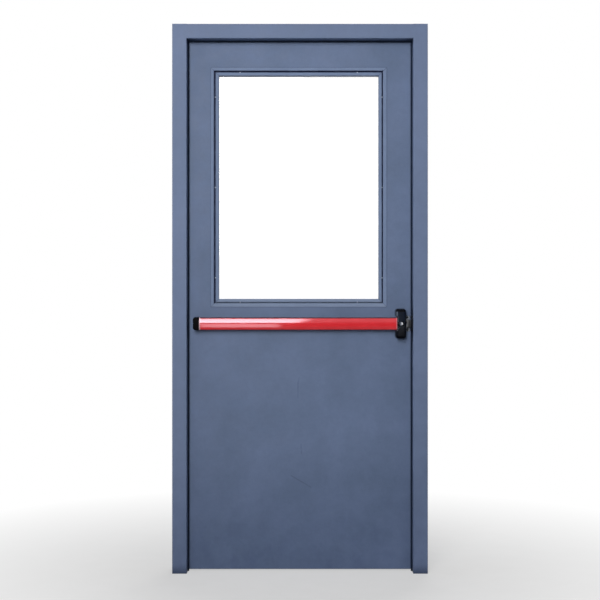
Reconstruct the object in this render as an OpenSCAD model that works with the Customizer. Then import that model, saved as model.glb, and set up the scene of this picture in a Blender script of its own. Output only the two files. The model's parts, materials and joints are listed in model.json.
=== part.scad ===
// Glazed steel door in its frame, with a panic bar on the push side.
// +X runs from the hinge side to the lock side, +Y from the push side to the pull side, +Z up.
// The origin is on the floor, at mid-width and mid-depth.

/* [Frame] */
// Outer width of the frame
frame_w = 1000; // [900:10:1150]
// Outer height of the frame
frame_h = 2150; // [2000:10:2350]
// Width of the frame's face on the push side
frame_face = 57; // [50:1:70]
// Depth of the reveal in front of the stop
reveal = 45; // [42:1:60]
// How far the stop covers the edge of the leaf
stop_w = 20; // [16:1:24]
// Sheet thickness of the frame
frame_sheet = 2; // [1.5:0.1:2.5]
// Depth of the lips turned back along the wall
wall_lip = 16; // [10:1:24]
// Inner radius of every fold
fold_r = 1; // [0.6:0.1:1.5]
// Diameter of the anchor holes in the reveal
anchor_d = 11; // [8:0.5:14]
// Distance of the outer anchor holes from the jamb's ends
anchor_inset = 250; // [150:10:350]

/* [Seals] */
// Gap between the stop and the leaf, filled by the lip seal
seal_gap = 5; // [4:0.1:7]
// How far the lip seal shows past the stop
seal_show = 5.5; // [4:0.1:7]
// Width of the seal's base on the stop
seal_base_w = 16; // [10:1:18]
// Thickness of the seal's base
seal_base_t = 2; // [1:0.1:3]
// Width of the fire strips
fire_w = 20; // [15:1:25]
// Thickness of the fire strips
fire_t = 1.8; // [1.5:0.1:2]

/* [Leaf] */
// Thickness of the leaf
leaf_t = 60; // [54:1:70]
// Sheet thickness of the leaf's skins
leaf_sheet = 1.5; // [1:0.1:2]
// Gap between the leaf's edge and the frame
leaf_gap = 5; // [4.5:0.1:6]
// Gap between the leaf and the floor
floor_gap = 7; // [4:0.5:12]
// Depth of the push tray's return, nested in the pull tray
tray_return = 20; // [12:1:24]

/* [Window] */
// Distance from the leaf's hinge edge to the window casing
window_hinge_margin = 106; // [95:1:180]
// Distance from the leaf's lock edge to the window casing
window_lock_margin = 116; // [95:1:180]
// Distance from the leaf's top edge to the window casing
window_top_margin = 120; // [60:1:250]
// Height of the casing's lower edge above the bar's axis
window_bar_gap = 66; // [62:1:250]
// Sheet thickness of casing, beads and liner
trim_sheet = 1.5; // [1:0.1:2]
// Width of the casing's flange on the top and hinge sides
flange_w = 12; // [10:0.5:16]
// How much wider the flange is on the bottom and lock sides
flange_extra = 2.4; // [0:0.1:2.6]
// Width of the open groove between casing and bead on the top and hinge sides
groove_w = 6.5; // [5.5:0.1:9]
// Depth of the groove's floor below the skin
groove_depth = 10.5; // [8:0.5:12]
// Width of the bead's face
bead_w = 13; // [10:0.5:18]
// How far the bead stands out of the skin
bead_proud = 1; // [0.5:0.1:2]
// How far the casing on the pull side stays back from the bead's inner edge
pull_back = 4.5; // [0:0.1:4.5]
// Thickness of the glass
glass_t = 24; // [18:1:28]
// How far the glass reaches under the bead
glass_bite = 15; // [13:0.5:17]
// Width of the glazing tape
tape_w = 9; // [6:0.5:10]
// Thickness of the glazing tape
tape_t = 2; // [1:0.1:2.5]
// Length of the legs of the window liner
liner_leg = 25; // [15:1:30]
// Length of a setting block
block_len = 100; // [60:5:140]

/* [Bead screws] */
// Distance of the end screws from the casing's corners
screw_inset = 115; // [80:1:140]
// Distance of the screws from the groove's outer wall on the top and hinge sides
screw_offset = 6.1; // [6:0.1:7.5]
// Diameter of the screw heads
screw_head_d = 6.2; // [5:0.1:6.6]
// Height of the screw heads
screw_head_h = 5; // [3:0.1:6]
// Diameter of the screw shanks
screw_d = 3.6; // [3:0.1:4.2]
// Length of the screw shanks
screw_len = 6; // [5:0.1:7]

/* [Panic bar] */
// Height of the bar's axis
bar_z = 977; // [950:1:990]
// Height of the bar
bar_h = 50; // [44:1:54]
// How far the pad stands off the leaf
bar_depth = 42; // [41:0.5:44]
// Distance from the leaf's hinge edge to the pad
bar_hinge_margin = 62.5; // [50:0.5:120]
// Rise of the pad's convex front
bar_crown = 5; // [3:0.5:7]
// Edge radius of the pad
bar_edge_r = 6; // [5:0.5:9]
// Wall of the pad
bar_wall = 2.2; // [1.8:0.1:2.6]
// Gap left between the pressed pad's skirts and the leaf
skirt_gap = 3.9; // [2:0.1:5]
// Travel of the pad
pad_travel = 9; // [7:0.5:9.5]
// Wall of the rail behind the pad
rail_wall = 2; // [1.5:0.1:2.5]
// Width of the hooks that keep the pad on its rail
hook_w = 2; // [1.5:0.1:2.2]
// Length of the end cap
cap_len = 24; // [22:0.5:30]
// Corner radius of the end cap
cap_r = 10; // [6:0.5:14]
// Wall of the end cap and of the lock cover
moulding = 2; // [1.5:0.1:2.2]

/* [Lock] */
// Width of the lock cover
cover_w = 42.5; // [42:0.5:44]
// Height of the lock cover
cover_h = 115; // [100:1:130]
// How far the lock cover stands off the leaf
cover_depth = 48; // [46:0.5:50]
// Distance from the reveal to the lock cover
cover_reveal_gap = 28; // [24:0.5:32]
// Corner radius of the lock cover
cover_r = 6; // [4:0.5:9]
// Depth of the slopes round the cover's face
cover_slope = 10; // [8:0.5:14]
// How far the cover's face is set in from its top
cover_top_lean = 11; // [8:0.5:14]
// How far the cover's face is set in from its foot
cover_foot_lean = 7; // [5:0.5:10]
// How far the cover's face is set in on the bar's side
cover_bar_lean = 8; // [6:0.5:10]
// How far the cover's face is set in on the latch's side
cover_latch_lean = 4; // [3:0.5:5]
// Depth of the cut in the cover for the end of the bar
cover_notch = 16; // [14:0.5:17]
// Bulge of that cut
notch_bulge = 6; // [3:0.5:8]
// Height of the latch bolt
latch_h = 30; // [26:0.5:32]
// Depth of the latch bolt
latch_t = 14; // [13:0.5:14.5]
// Gap between the thrown latch bolt's nose and the strike
latch_nose_gap = 2; // [1:0.1:4]
// Travel of the latch bolt
latch_throw = 14; // [12:0.5:14.5]
// Length of the latch bolt inside the cover
latch_inside = 25; // [22:0.5:27]
// Height of the drive tongue
tongue_h = 15; // [12:0.5:17]
// Thickness of the drive tongue
tongue_t = 3.6; // [2.5:0.1:3.8]
// Thickness of the lock's base plate
lock_plate = 3; // [2:0.1:3.5]
// How far the lock's base plate shows past the cover
ear_reach = 18; // [16:0.5:19]
// Height of the base plate where it shows
ear_h = 61; // [56:1:66]
// Diameter of the lock screws' heads
lock_head_d = 8; // [7:0.1:9]
// Height of the lock screws' heads
lock_head_h = 3; // [2:0.1:3.5]
// Diameter of the lock screws' shanks
lock_screw_d = 4.2; // [3:0.1:5]

/* [Strike] */
// Height of the strike
strike_h = 61; // [56:1:70]
// Depth of the strike
strike_d = 30; // [26:1:32]
// Thickness of the strike's base
strike_t = 4; // [3:0.1:4.5]
// How far the strike's lip stands off the base
strike_lip = 14; // [13:0.5:14.5]
// Thickness of the lip that holds the latch bolt
lip_t = 5; // [4:0.1:5.5]
// Diameter of the strike screws' heads
strike_head_d = 8.5; // [7:0.1:10]
// Diameter of the strike screws' shanks
strike_screw_d = 4.2; // [3:0.1:5]
// Height of the strike screws' heads
strike_head_h = 4; // [3:0.1:5]

/* [Hinges] */
// Height of the centre of the lower hinge
hinge_low = 230; // [200:5:260]
// Distance from the leaf's top edge to the centre of the upper hinge
hinge_top_inset = 208; // [150:1:300]
// Height of a hinge
hinge_h = 140; // [110:5:160]
// Diameter of the knuckles
knuckle_d = 18; // [16:0.5:20]
// Height of the knuckle that turns with the leaf
leaf_knuckle = 66; // [50:1:76]
// Diameter of the hinge pins
pin_d = 10; // [8:0.5:11]
// Radial clearance of the pins
pin_clear = 0.05; // [0.03:0.01:0.1]
// Thickness of the washers between the knuckles
washer_t = 2; // [1.5:0.1:3]
// Thickness of the hinge wings
wing_t = 3; // [2.5:0.1:4]
// Reach of the frame wing from the hinge axis
frame_wing = 34; // [30:0.5:36]
// Reach of the leaf wing from the hinge axis
leaf_wing = 54; // [46:1:60]
// Diameter of the hinge screws
hinge_screw_d = 6; // [5:0.1:6.5]
// Diameter of the hinge screws' heads
hinge_head_d = 10.5; // [9:0.1:12]
// Height of the hinge screws' heads
hinge_head_h = 2.6; // [2:0.1:3.5]
// Thickness of the plates behind the skins
backing_t = 3; // [2:0.1:4]

/* [Hidden] */

$fn = 48;
// Segments of each fold and of each drawn arc
fold_steps = 4;
arc_steps = 10;
// Overrun of every cut
cut = 1;
// Thickness of the slabs that span a blended shape
slab = 0.5;
// Clearance of nested sheets, of sliding pieces, of screw holes and of close seats
nest = 0.2;
slide = 0.3;
hole_clear = 0.2;
seat_gap = 0.05;

// Depths are counted from the frame's push face, and front_y puts them in the frame
frame_depth = reveal + seal_gap + leaf_t;
front_y = -(frame_depth + knuckle_d) / 2;
leaf_face = reveal + seal_gap;
leaf_y = front_y + leaf_face;
pull_y = leaf_y + leaf_t;

opening_x = frame_w / 2 - frame_face;
rebate_u = frame_face - stop_w;
rebate_x = frame_w / 2 - rebate_u;
leaf_x = rebate_x - leaf_gap;
leaf_top = frame_h - rebate_u - leaf_gap;
leaf_h = leaf_top - floor_gap;

// Outer edge of the window casing
window_w = 2 * leaf_x - window_hinge_margin - window_lock_margin;
window_x = (window_hinge_margin - window_lock_margin) / 2;
window_top = leaf_top - window_top_margin;
window_bottom = bar_z + window_bar_gap;
window_h = window_top - window_bottom;
window_z = (window_top + window_bottom) / 2;

// Stations across the window's edge, counted inwards from the outer edge of the casing
bead_out = flange_w + groove_w;
bead_in = bead_out + bead_w;
pull_in = bead_in - pull_back;
liner_w = flange_w - trim_sheet - nest;
skin_hole_w = liner_w - fold_r;
glass_w = bead_in - glass_bite;
glass_n = (leaf_t - glass_t) / 2;
screw_w = flange_w + screw_offset;
floor_margin = 2;
floor_end = screw_w + screw_d / 2 + floor_margin;
bead_foot_n = groove_depth - trim_sheet;

// Hinge axis, in the middle of the gap and just behind the pull faces
hinge_x = -(leaf_x + rebate_x) / 2;
knuckle_r = knuckle_d / 2;
hinge_y = pull_y + knuckle_r;
hinge_high = leaf_top - hinge_top_inset;
hinge_zs = [hinge_low, (hinge_low + hinge_high) / 2, hinge_high];
wing_clear = 1;
frame_knuckle = (hinge_h - leaf_knuckle) / 2 - washer_t;
hinge_rows = [-1, 0, 1];
hinge_screw_pitch_share = 0.36;
frame_screw_x = hinge_x - (knuckle_r + frame_wing) / 2;
leaf_screw_x = hinge_x + (knuckle_r + leaf_wing) / 2;
backing_w = leaf_wing + knuckle_d;

// Bar and rail, drawn in the section of the bar: height across, distance from the leaf along
bar_r = (bar_h * bar_h / 4 + bar_crown * bar_crown) / (2 * bar_crown);
edge_c = [bar_h / 2 - bar_edge_r, bar_depth - bar_r + sqrt(pow(bar_r - bar_edge_r, 2)
    - pow(bar_h / 2 - bar_edge_r, 2))];
edge_angle = atan2(edge_c.x, edge_c.y - bar_depth + bar_r);
skirt_end = pad_travel + skirt_gap;
pad_in = bar_h / 2 - bar_wall;
rail_half = pad_in - hook_w - slide;
rail_hook_y = skirt_end + bar_wall + slide;
cover_x1 = opening_x - cover_reveal_gap;
cover_x0 = cover_x1 - cover_w;
bar_end_gap = 1.5;
bar_x0 = bar_hinge_margin - leaf_x;
bar_x1 = cover_x0 + cover_notch - notch_bulge - bar_end_gap;
rail_x0 = bar_x0 - cap_len / 2;
rail_end_gap = 12;
rail_x1 = bar_x1 - rail_end_gap;
cap_notch_w = 6;
cap_notch_d = 1.4;
cap_bevel = 4;

// Lock, drawn from above: along the leaf and away from its face
throw_ratio = latch_throw / pad_travel;
latch_clear = 1;
latch_run_gap = 0.75;
tongue_front = bar_depth - bar_r - seat_gap + sqrt(pow(bar_r - bar_wall, 2)
    - pow(tongue_h / 2, 2));
latch_front = tongue_front - tongue_t - pad_travel - latch_run_gap;
latch_lift = latch_front - latch_t;
latch_nose = opening_x - strike_t - latch_nose_gap;
web_len = 5;
slot_room = 4.2;
tail_x = cover_x1 - latch_inside;
ramp_x = tail_x + web_len;
slot_x1 = ramp_x + latch_t * throw_ratio + slot_room;
tongue_x1 = slot_x1 - latch_throw - latch_clear;
tongue_root = 30;
tongue_head_len = 15;
tongue_head_x = tongue_x1 - tongue_head_len;
tongue_sink = 3.5;
tongue_head_front = cover_depth - tongue_sink;
tongue_nose = 5;
tongue_tip_share = 0.35;
head_step = 2.5;
head_step_share = 0.4;
ramp_slack = 0.6;
nose_bevel = 10;
notch_clear = 4;
notch_h = bar_h + 2 * notch_clear;
window_slot_h = tongue_h + 2 * latch_clear;
guide_len = 15;
guide_x1 = cover_x1 - moulding - slide;
guide_x0 = guide_x1 - guide_len;
guide_wall = 5;
guide_ledge = 4.5;
base_x0 = bar_x1 + moulding;
base_h = cover_h - 2 * cover_r;
ear_x1 = cover_x1 + ear_reach;
ear_r = 3;
ear_margin = 1.2;
lock_screw_x = (cover_x1 + ear_x1) / 2;
lock_screw_z = ear_h / 2 - lock_head_d / 2 - ear_margin;

// Strike on the reveal
strike_lift = latch_lift - slide;
strike_y = leaf_y - strike_lift;
strike_screw_z = strike_h / 2 - strike_head_d / 2 - slide;
lip_chamfer = 2.5;

// Left-hand unit normal of the step from p to q
function left_of(p, q) = [p.y - q.y, q.x - p.x] / norm(q - p);

// Side to which a path turns at q: 1 is left
function turn_at(p, q, s) = sign((q.x - p.x) * (s.y - q.y) - (q.y - p.y) * (s.x - q.x));

// Points of one face of a folded sheet round the fold at q
function fold_points(p, q, s, side, sheet) =
    let (
        t = turn_at(p, q, s),
        n0 = left_of(p, q),
        n1 = left_of(q, s),
        r = t > 0 ? fold_r + sheet : fold_r,
        c = q + t * r * (n0 + n1) / (1 + n0 * n1),
        a0 = atan2(n0.y, n0.x),
        sweep = t * acos(n0 * n1)
    )
    [for (i = [0 : fold_steps])
        let (a = a0 + sweep * i / fold_steps)
        c - t * (r - t * side) * [cos(a), sin(a)]];

// One face of a folded sheet along a path, set off to the left of it
function face_points(path, side, sheet) = concat(
    [path[0] + side * left_of(path[0], path[1])],
    [for (i = [1 : len(path) - 2])
        each fold_points(path[i - 1], path[i], path[i + 1], side, sheet)],
    [path[len(path) - 1] + side * left_of(path[len(path) - 2], path[len(path) - 1])]
);

function reversed(v) = [for (i = [len(v) - 1 : -1 : 0]) v[i]];

// Outline of a folded sheet whose outer face follows the path, with its metal on the left
function folded(path, sheet) = concat(
    face_points(path, 0, sheet),
    reversed(face_points(path, sheet, sheet))
);

// Points of an arc about c, without its first and last steps where it runs on from another arc
function arc(c, r, a0, a1, skip = 0) = [
    for (i = [skip : arc_steps - skip])
        let (a = a0 + (a1 - a0) * i / arc_steps)
        c + r * [cos(a), sin(a)]
];

// Outline of a rectangle about the origin with rounded corners
function rounded(w, h, r) = concat(
    arc([w / 2 - r, h / 2 - r], r, 0, 90),
    arc([r - w / 2, h / 2 - r], r, 90, 180),
    arc([r - w / 2, r - h / 2], r, 180, 270),
    arc([w / 2 - r, r - h / 2], r, 270, 360)
);

// Box from its low corner and its high corner
module box(lo, hi) {
    translate(lo)
        cube(hi - lo);
}

// Profile in depth and height, run along X from x0 to x1
module along_x(x0, x1) {
    translate([x0, 0, 0])
        rotate([90, 0, 90])
            linear_extrude(x1 - x0)
                children();
}

// Outline in X and Z on the leaf's push face, raised towards the viewer from one lift to another
module on_leaf(lift0, lift1) {
    translate([0, leaf_y - lift0, 0])
        rotate([90, 0, 0])
            linear_extrude(lift1 - lift0)
                children();
}

// Path of the jamb sheet: distance from the frame's outer edge, depth from its push face
function jamb_path() = [
    [0, wall_lip],
    [0, 0],
    [frame_face, 0],
    [frame_face, reveal],
    [rebate_u, reveal],
    [rebate_u, frame_depth],
    [0, frame_depth],
    [0, frame_depth - wall_lip]
];

// Sheet of the frame, folded to a stop in the middle and to lips along the wall
module jamb_profile() {
    polygon(folded(jamb_path(), frame_sheet));
}

// Filled outline of the jamb, the space that the head is coped to, clear of the fold at the rebate
module jamb_outline() {
    polygon([
        [0, 0],
        [frame_face, 0],
        [frame_face, reveal],
        [rebate_u + fold_r, reveal],
        [rebate_u, reveal + fold_r],
        [rebate_u, frame_depth],
        [0, frame_depth]
    ]);
}

// Puts a jamb's profile at the hinge side
module at_jamb() {
    translate([-frame_w / 2, front_y, 0])
        children();
}

// Anchor holes, evenly spaced along a jamb
anchor_count = 4;
function anchor_zs() = [
    for (i = [0 : anchor_count - 1])
        anchor_inset + i * (frame_h - 2 * anchor_inset) / (anchor_count - 1)
];

module anchor_holes() {
    for (z = anchor_zs())
        translate([frame_face - frame_sheet - cut, reveal / 2, z])
            rotate([0, 90, 0])
                cylinder(d = anchor_d, h = frame_sheet + 2 * cut);
}

module jamb() {
    at_jamb()
        difference() {
            linear_extrude(frame_h)
                jamb_profile();
            anchor_holes();
        }
}

module hinge_jamb() {
    color([0.41, 0.47, 0.59])
        difference() {
            jamb();
            hinge_screw_holes(frame_screw_x);
        }
}

module lock_jamb() {
    color([0.41, 0.47, 0.59])
        difference() {
            mirror([1, 0, 0])
                jamb();
            strike_holes();
        }
}

// Head sheet run over the whole width and coped to both jambs
module frame_head() {
    color([0.44, 0.5, 0.61])
        difference() {
            along_x(-frame_w / 2, frame_w / 2)
                translate([front_y, frame_h])
                    rotate(-90)
                        jamb_profile();
            for (side = [0, 1])
                mirror([side, 0, 0])
                    at_jamb()
                        translate([0, 0, frame_h - frame_face - cut])
                            linear_extrude(frame_face + 2 * cut)
                                jamb_outline();
        }
}

// Lip seal in section: base on the stop's back, bulb past the stop's edge
module seal_profile() {
    bulb_r = (seal_gap - slide) / 2;
    bulb_u = frame_face + seal_show - bulb_r;
    translate([bulb_u, reveal + bulb_r])
        circle(r = bulb_r);
    translate([frame_face - seal_base_w, reveal])
        square([bulb_u - frame_face + seal_base_w, seal_base_t]);
}

module jamb_seal() {
    at_jamb()
        linear_extrude(frame_h - frame_face - seal_show - slide)
            seal_profile();
}

module seal_hinge_side() {
    color([0.06, 0.06, 0.07])
        jamb_seal();
}

module seal_lock_side() {
    color([0.06, 0.06, 0.07])
        mirror([1, 0, 0])
            jamb_seal();
}

module seal_head() {
    color([0.06, 0.06, 0.07])
        along_x(fold_r + slide - rebate_x, rebate_x - fold_r - slide)
            translate([front_y, frame_h])
                rotate(-90)
                    seal_profile();
}

// Fire strip on the rebate, opposite the leaf's edge
module jamb_fire_strip() {
    at_jamb()
        translate([rebate_u, leaf_face + (leaf_t - fire_w) / 2, 0])
            cube([fire_t, fire_w, frame_h - rebate_u - fire_t - slide]);
}

module fire_strip_hinge_side() {
    color([0.25, 0.25, 0.26])
        jamb_fire_strip();
}

module fire_strip_lock_side() {
    color([0.25, 0.25, 0.26])
        mirror([1, 0, 0])
            jamb_fire_strip();
}

module fire_strip_head() {
    color([0.25, 0.25, 0.26])
        translate([slide - rebate_x, leaf_y + (leaf_t - fire_w) / 2, frame_h - rebate_u - fire_t])
            cube([2 * (rebate_x - slide), fire_w, fire_t]);
}

// Leaf: two nested trays round a core
module pull_skin() {
    color([0.41, 0.47, 0.59])
        difference() {
            box([-leaf_x, leaf_y, floor_gap], [leaf_x, pull_y, leaf_top]);
            box(
                [leaf_sheet - leaf_x, leaf_y - cut, floor_gap + leaf_sheet],
                [leaf_x - leaf_sheet, pull_y - leaf_sheet, leaf_top - leaf_sheet]
            );
            window_hole(pull_y - leaf_sheet - cut, pull_y + cut, liner_w);
            hinge_screw_holes(leaf_screw_x);
        }
}

module push_skin() {
    inset = leaf_sheet + nest;
    back = inset + leaf_sheet;
    color([0.39, 0.46, 0.57])
        difference() {
            box(
                [inset - leaf_x, leaf_y, floor_gap + inset],
                [leaf_x - inset, leaf_y + tray_return, leaf_top - inset]
            );
            box(
                [back - leaf_x, leaf_y + leaf_sheet, floor_gap + back],
                [leaf_x - back, leaf_y + tray_return + cut, leaf_top - back]
            );
            window_hole(leaf_y - cut, leaf_y + leaf_sheet + cut, skin_hole_w);
            lock_screw_holes();
        }
}

// Rectangular hole through the leaf, inset from the casing's outer edge
module window_hole(y0, y1, inset) {
    box(
        [window_x - window_w / 2 + inset, y0, window_z - window_h / 2 + inset],
        [window_x + window_w / 2 - inset, y1, window_z + window_h / 2 - inset]
    );
}

module mineral_core() {
    inset = 2 * (leaf_sheet + nest) + nest;
    skin = leaf_sheet + nest;
    color([0.75, 0.7, 0.5])
        difference() {
            box(
                [inset - leaf_x, leaf_y + skin, floor_gap + inset],
                [leaf_x - inset, pull_y - skin, leaf_top - inset]
            );
            window_hole(leaf_y - cut, pull_y + cut, liner_w - liner_leg - nest);
            hinge_backing(nest);
            lock_backing(nest);
        }
}

// Plates behind the pull skin that take the hinge screws, grown all round by a clearance
module hinge_backing(grow) {
    inset = 2 * (leaf_sheet + nest) + nest;
    for (z = hinge_zs)
        box(
            [inset - leaf_x - grow, pull_y - leaf_sheet - backing_t - grow, z - hinge_h / 2 - grow],
            [inset - leaf_x + backing_w + grow, pull_y - leaf_sheet, z + hinge_h / 2 + grow]
        );
}

module hinge_backing_plates() {
    color("dimgray")
        difference() {
            hinge_backing(0);
            hinge_screw_holes(leaf_screw_x);
        }
}

// Plate behind the push skin under the lock, grown all round by a clearance
module lock_backing(grow) {
    box(
        [cover_x0 - grow, leaf_y + leaf_sheet, bar_z - cover_h / 2 - grow],
        [ear_x1 + grow, leaf_y + leaf_sheet + backing_t + grow, bar_z + cover_h / 2 + grow]
    );
}

module lock_backing_plate() {
    color("dimgray")
        difference() {
            lock_backing(0);
            lock_screw_holes();
        }
}

// Side k of the window, counted from the bottom and against the clock as the viewer sees it
function side_len(k) = k % 2 == 0 ? window_w : window_h;
function side_rise(k) = k % 2 == 0 ? window_h : window_w;

// Width of the flange on side k, and where the bead's foot starts in the groove there
function flange_of(k) = k < 2 ? flange_w + flange_extra : flange_w;
function bead_foot_w(k) = flange_of(k) + fold_r + slide;

module at_window_side(k) {
    translate([window_x, leaf_y, window_z])
        rotate([0, -90 * k, 0])
            translate([-side_len(k) / 2, 0, -side_rise(k) / 2])
                children();
}

// Profile in depth and station, run along side k and mitred at both ends between two stations
module mitred_side(k, w0, w1) {
    run = side_len(k);
    at_window_side(k)
        intersection() {
            along_x(w0, run - w0)
                children();
            translate([0, leaf_t + cut + trim_sheet, 0])
                rotate([90, 0, 0])
                    linear_extrude(leaf_t + 2 * (cut + trim_sheet))
                        polygon([
                            [w0 + seat_gap, w0],
                            [run - w0 - seat_gap, w0],
                            [run - w1 - seat_gap, w1],
                            [w1 + seat_gap, w1]
                        ]);
        }
}

// Screw places along side k: one near each corner, and one in the middle of a long side
function screw_xs(k) = k % 2 == 0
    ? [screw_inset, side_len(k) - screw_inset]
    : [screw_inset, side_len(k) / 2, side_len(k) - screw_inset];

// Runs its children at each screw of side k, with +Z into the leaf
module at_screws(k) {
    at_window_side(k)
        for (x = screw_xs(k))
            translate([x, bead_foot_n, screw_w])
                rotate([-90, 0, 0])
                    children();
}

module screw_hole() {
    translate([0, 0, -cut])
        cylinder(d = screw_d + 2 * hole_clear, h = 2 * trim_sheet + 2 * cut);
}

module liner(k) {
    inner = leaf_sheet + nest;
    color("silver")
        mitred_side(k, liner_w - liner_leg, liner_w)
            polygon(folded([
                [leaf_t - inner, liner_w - liner_leg],
                [leaf_t - inner, liner_w],
                [inner, liner_w],
                [inner, liner_w - liner_leg]
            ], trim_sheet));
}

module casing(k) {
    color([0.45, 0.52, 0.64])
        difference() {
            mitred_side(k, 0, floor_end)
                polygon(folded([
                    [groove_depth, floor_end],
                    [groove_depth, flange_of(k)],
                    [-trim_sheet, flange_of(k)],
                    [-trim_sheet, 0]
                ], trim_sheet));
            at_screws(k)
                screw_hole();
        }
}

module bead(k) {
    color([0.43, 0.5, 0.62])
        difference() {
            mitred_side(k, bead_foot_w(k), bead_in)
                polygon(folded([
                    [glass_n - tape_t, bead_in],
                    [-bead_proud, bead_in],
                    [-bead_proud, bead_out],
                    [bead_foot_n, bead_out],
                    [bead_foot_n, bead_foot_w(k)]
                ], trim_sheet));
            at_screws(k) {
                screw_hole();
                mirror([0, 0, 1])
                    cylinder(d = screw_head_d + 2 * slide, h = bead_foot_n + bead_proud + cut);
            }
        }
}

module pull_casing(k) {
    color([0.45, 0.52, 0.64])
        mitred_side(k, 0, pull_in)
            polygon(folded([
                [leaf_t + trim_sheet, 0],
                [leaf_t + trim_sheet, pull_in],
                [leaf_t - glass_n + tape_t, pull_in]
            ], trim_sheet));
}

// Domed head on a shank, with the shank along +Z
module pan_screw(head_d, head_h, shank_d, shank_len) {
    dome_r = head_d / 2;
    rotate_extrude() {
        square([shank_d / 2, shank_len]);
        translate([0, -head_h / 2])
            square([dome_r, head_h / 2]);
        intersection() {
            translate([0, dome_r - head_h])
                circle(r = dome_r);
            translate([0, -head_h])
                square([dome_r, head_h / 2]);
        }
    }
}

module bead_screws() {
    color([0.85, 0.87, 0.9])
        for (k = [0 : 3])
            at_screws(k)
                pan_screw(screw_head_d, screw_head_h, screw_d, screw_len);
}

module glass_pane() {
    color([0.85, 0.93, 0.92, 0.5])
        window_hole(leaf_y + glass_n, pull_y - glass_n, glass_w);
}

// Ring of tape on one face of the glass, under the leg that presses there
module glazing_tape(y0, leg_w) {
    difference() {
        window_hole(y0, y0 + tape_t, leg_w - slide - tape_w);
        window_hole(y0 - cut, y0 + tape_t + cut, leg_w - slide);
    }
}

module glazing_tape_push() {
    color([0.6, 0.63, 0.68])
        glazing_tape(leaf_y + glass_n - tape_t, bead_in);
}

module glazing_tape_pull() {
    color([0.6, 0.63, 0.68])
        glazing_tape(pull_y - glass_n, pull_in);
}

// Blocks on the lower liner that carry the glass
module setting_blocks() {
    color([0.2, 0.2, 0.2])
        for (side = [-1, 1])
            translate([side * window_w / 4 - block_len / 2, 0, 0])
                box(
                    [window_x, leaf_y + glass_n, window_z - window_h / 2 + liner_w],
                    [window_x + block_len, pull_y - glass_n, window_z - window_h / 2 + glass_w]
                );
}

// Hinges on the pull side
module at_hinge(i) {
    translate([hinge_x, hinge_y, hinge_zs[i]])
        children();
}

module knuckle_bore() {
    translate([0, 0, -hinge_h / 2 - cut])
        cylinder(d = pin_d + 2 * pin_clear, h = hinge_h + 2 * cut);
}

// Runs its children at every hinge screw of one wing, with +Z into the leaf
module at_hinge_screws(x, i) {
    for (row = hinge_rows)
        translate([x, pull_y + wing_t, hinge_zs[i] + row * hinge_h * hinge_screw_pitch_share])
            rotate([90, 0, 0])
                children();
}

module hinge_screw_holes(x) {
    for (i = [0 : len(hinge_zs) - 1])
        at_hinge_screws(x, i)
            translate([0, 0, -cut])
                cylinder(
                    d = hinge_screw_d + 2 * hole_clear,
                    h = wing_t + frame_sheet + leaf_sheet + backing_t + 2 * cut
                );
}

// Wing plate on the pull faces, on the side of the axis that dir names
module wing_plate(dir, reach, from_x, z0, z1) {
    mirror([dir < 0 ? 1 : 0, 0, 0])
        box([from_x, -knuckle_r, z0], [reach, wing_t - knuckle_r, z1]);
}

module frame_wing_piece(i) {
    color("silver")
        difference() {
            at_hinge(i)
                difference() {
                    union() {
                        wing_plate(-1, frame_wing, knuckle_r + wing_clear, -hinge_h / 2, hinge_h / 2);
                        for (side = [0, 1])
                            mirror([0, 0, side]) {
                                translate([0, 0, hinge_h / 2 - frame_knuckle])
                                    cylinder(d = knuckle_d, h = frame_knuckle);
                                wing_plate(-1, frame_wing, 0, hinge_h / 2 - frame_knuckle, hinge_h / 2);
                            }
                    }
                    knuckle_bore();
                }
            at_hinge_screws(frame_screw_x, i)
                translate([0, 0, -cut])
                    cylinder(d = hinge_screw_d + 2 * hole_clear, h = wing_t + 2 * cut);
        }
}

module leaf_wing_piece(i) {
    color("silver")
        difference() {
            at_hinge(i)
                difference() {
                    union() {
                        wing_plate(1, leaf_wing, knuckle_r + wing_clear, -hinge_h / 2, hinge_h / 2);
                        translate([0, 0, -leaf_knuckle / 2])
                            cylinder(d = knuckle_d, h = leaf_knuckle);
                        wing_plate(1, leaf_wing, 0, -leaf_knuckle / 2, leaf_knuckle / 2);
                    }
                    knuckle_bore();
                }
            at_hinge_screws(leaf_screw_x, i)
                translate([0, 0, -cut])
                    cylinder(d = hinge_screw_d + 2 * hole_clear, h = wing_t + 2 * cut);
        }
}

module hinge_pins() {
    color("silver")
        for (i = [0 : len(hinge_zs) - 1])
            at_hinge(i)
                translate([0, 0, -hinge_h / 2])
                    cylinder(d = pin_d, h = hinge_h);
}

// Two washers a hinge, one at each end of the knuckle that turns
module hinge_washers() {
    color([0.6, 0.55, 0.4])
        for (i = [0 : len(hinge_zs) - 1])
            at_hinge(i)
                for (side = [0, 1])
                    mirror([0, 0, side])
                        translate([0, 0, leaf_knuckle / 2 + slide])
                            difference() {
                                cylinder(d = knuckle_d - 2 * slide, h = washer_t - slide);
                                translate([0, 0, -cut])
                                    cylinder(d = pin_d + 2 * pin_clear, h = washer_t + 2 * cut);
                            }
}

module hinge_frame_screws() {
    color("silver")
        for (i = [0 : len(hinge_zs) - 1])
            at_hinge_screws(frame_screw_x, i)
                pan_screw(hinge_head_d, hinge_head_h, hinge_screw_d, wing_t + 2 * frame_sheet);
}

module hinge_leaf_screws() {
    color("silver")
        for (i = [0 : len(hinge_zs) - 1])
            at_hinge_screws(leaf_screw_x, i)
                pan_screw(hinge_head_d, hinge_head_h, hinge_screw_d,
                    wing_t + leaf_sheet + backing_t);
}

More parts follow.
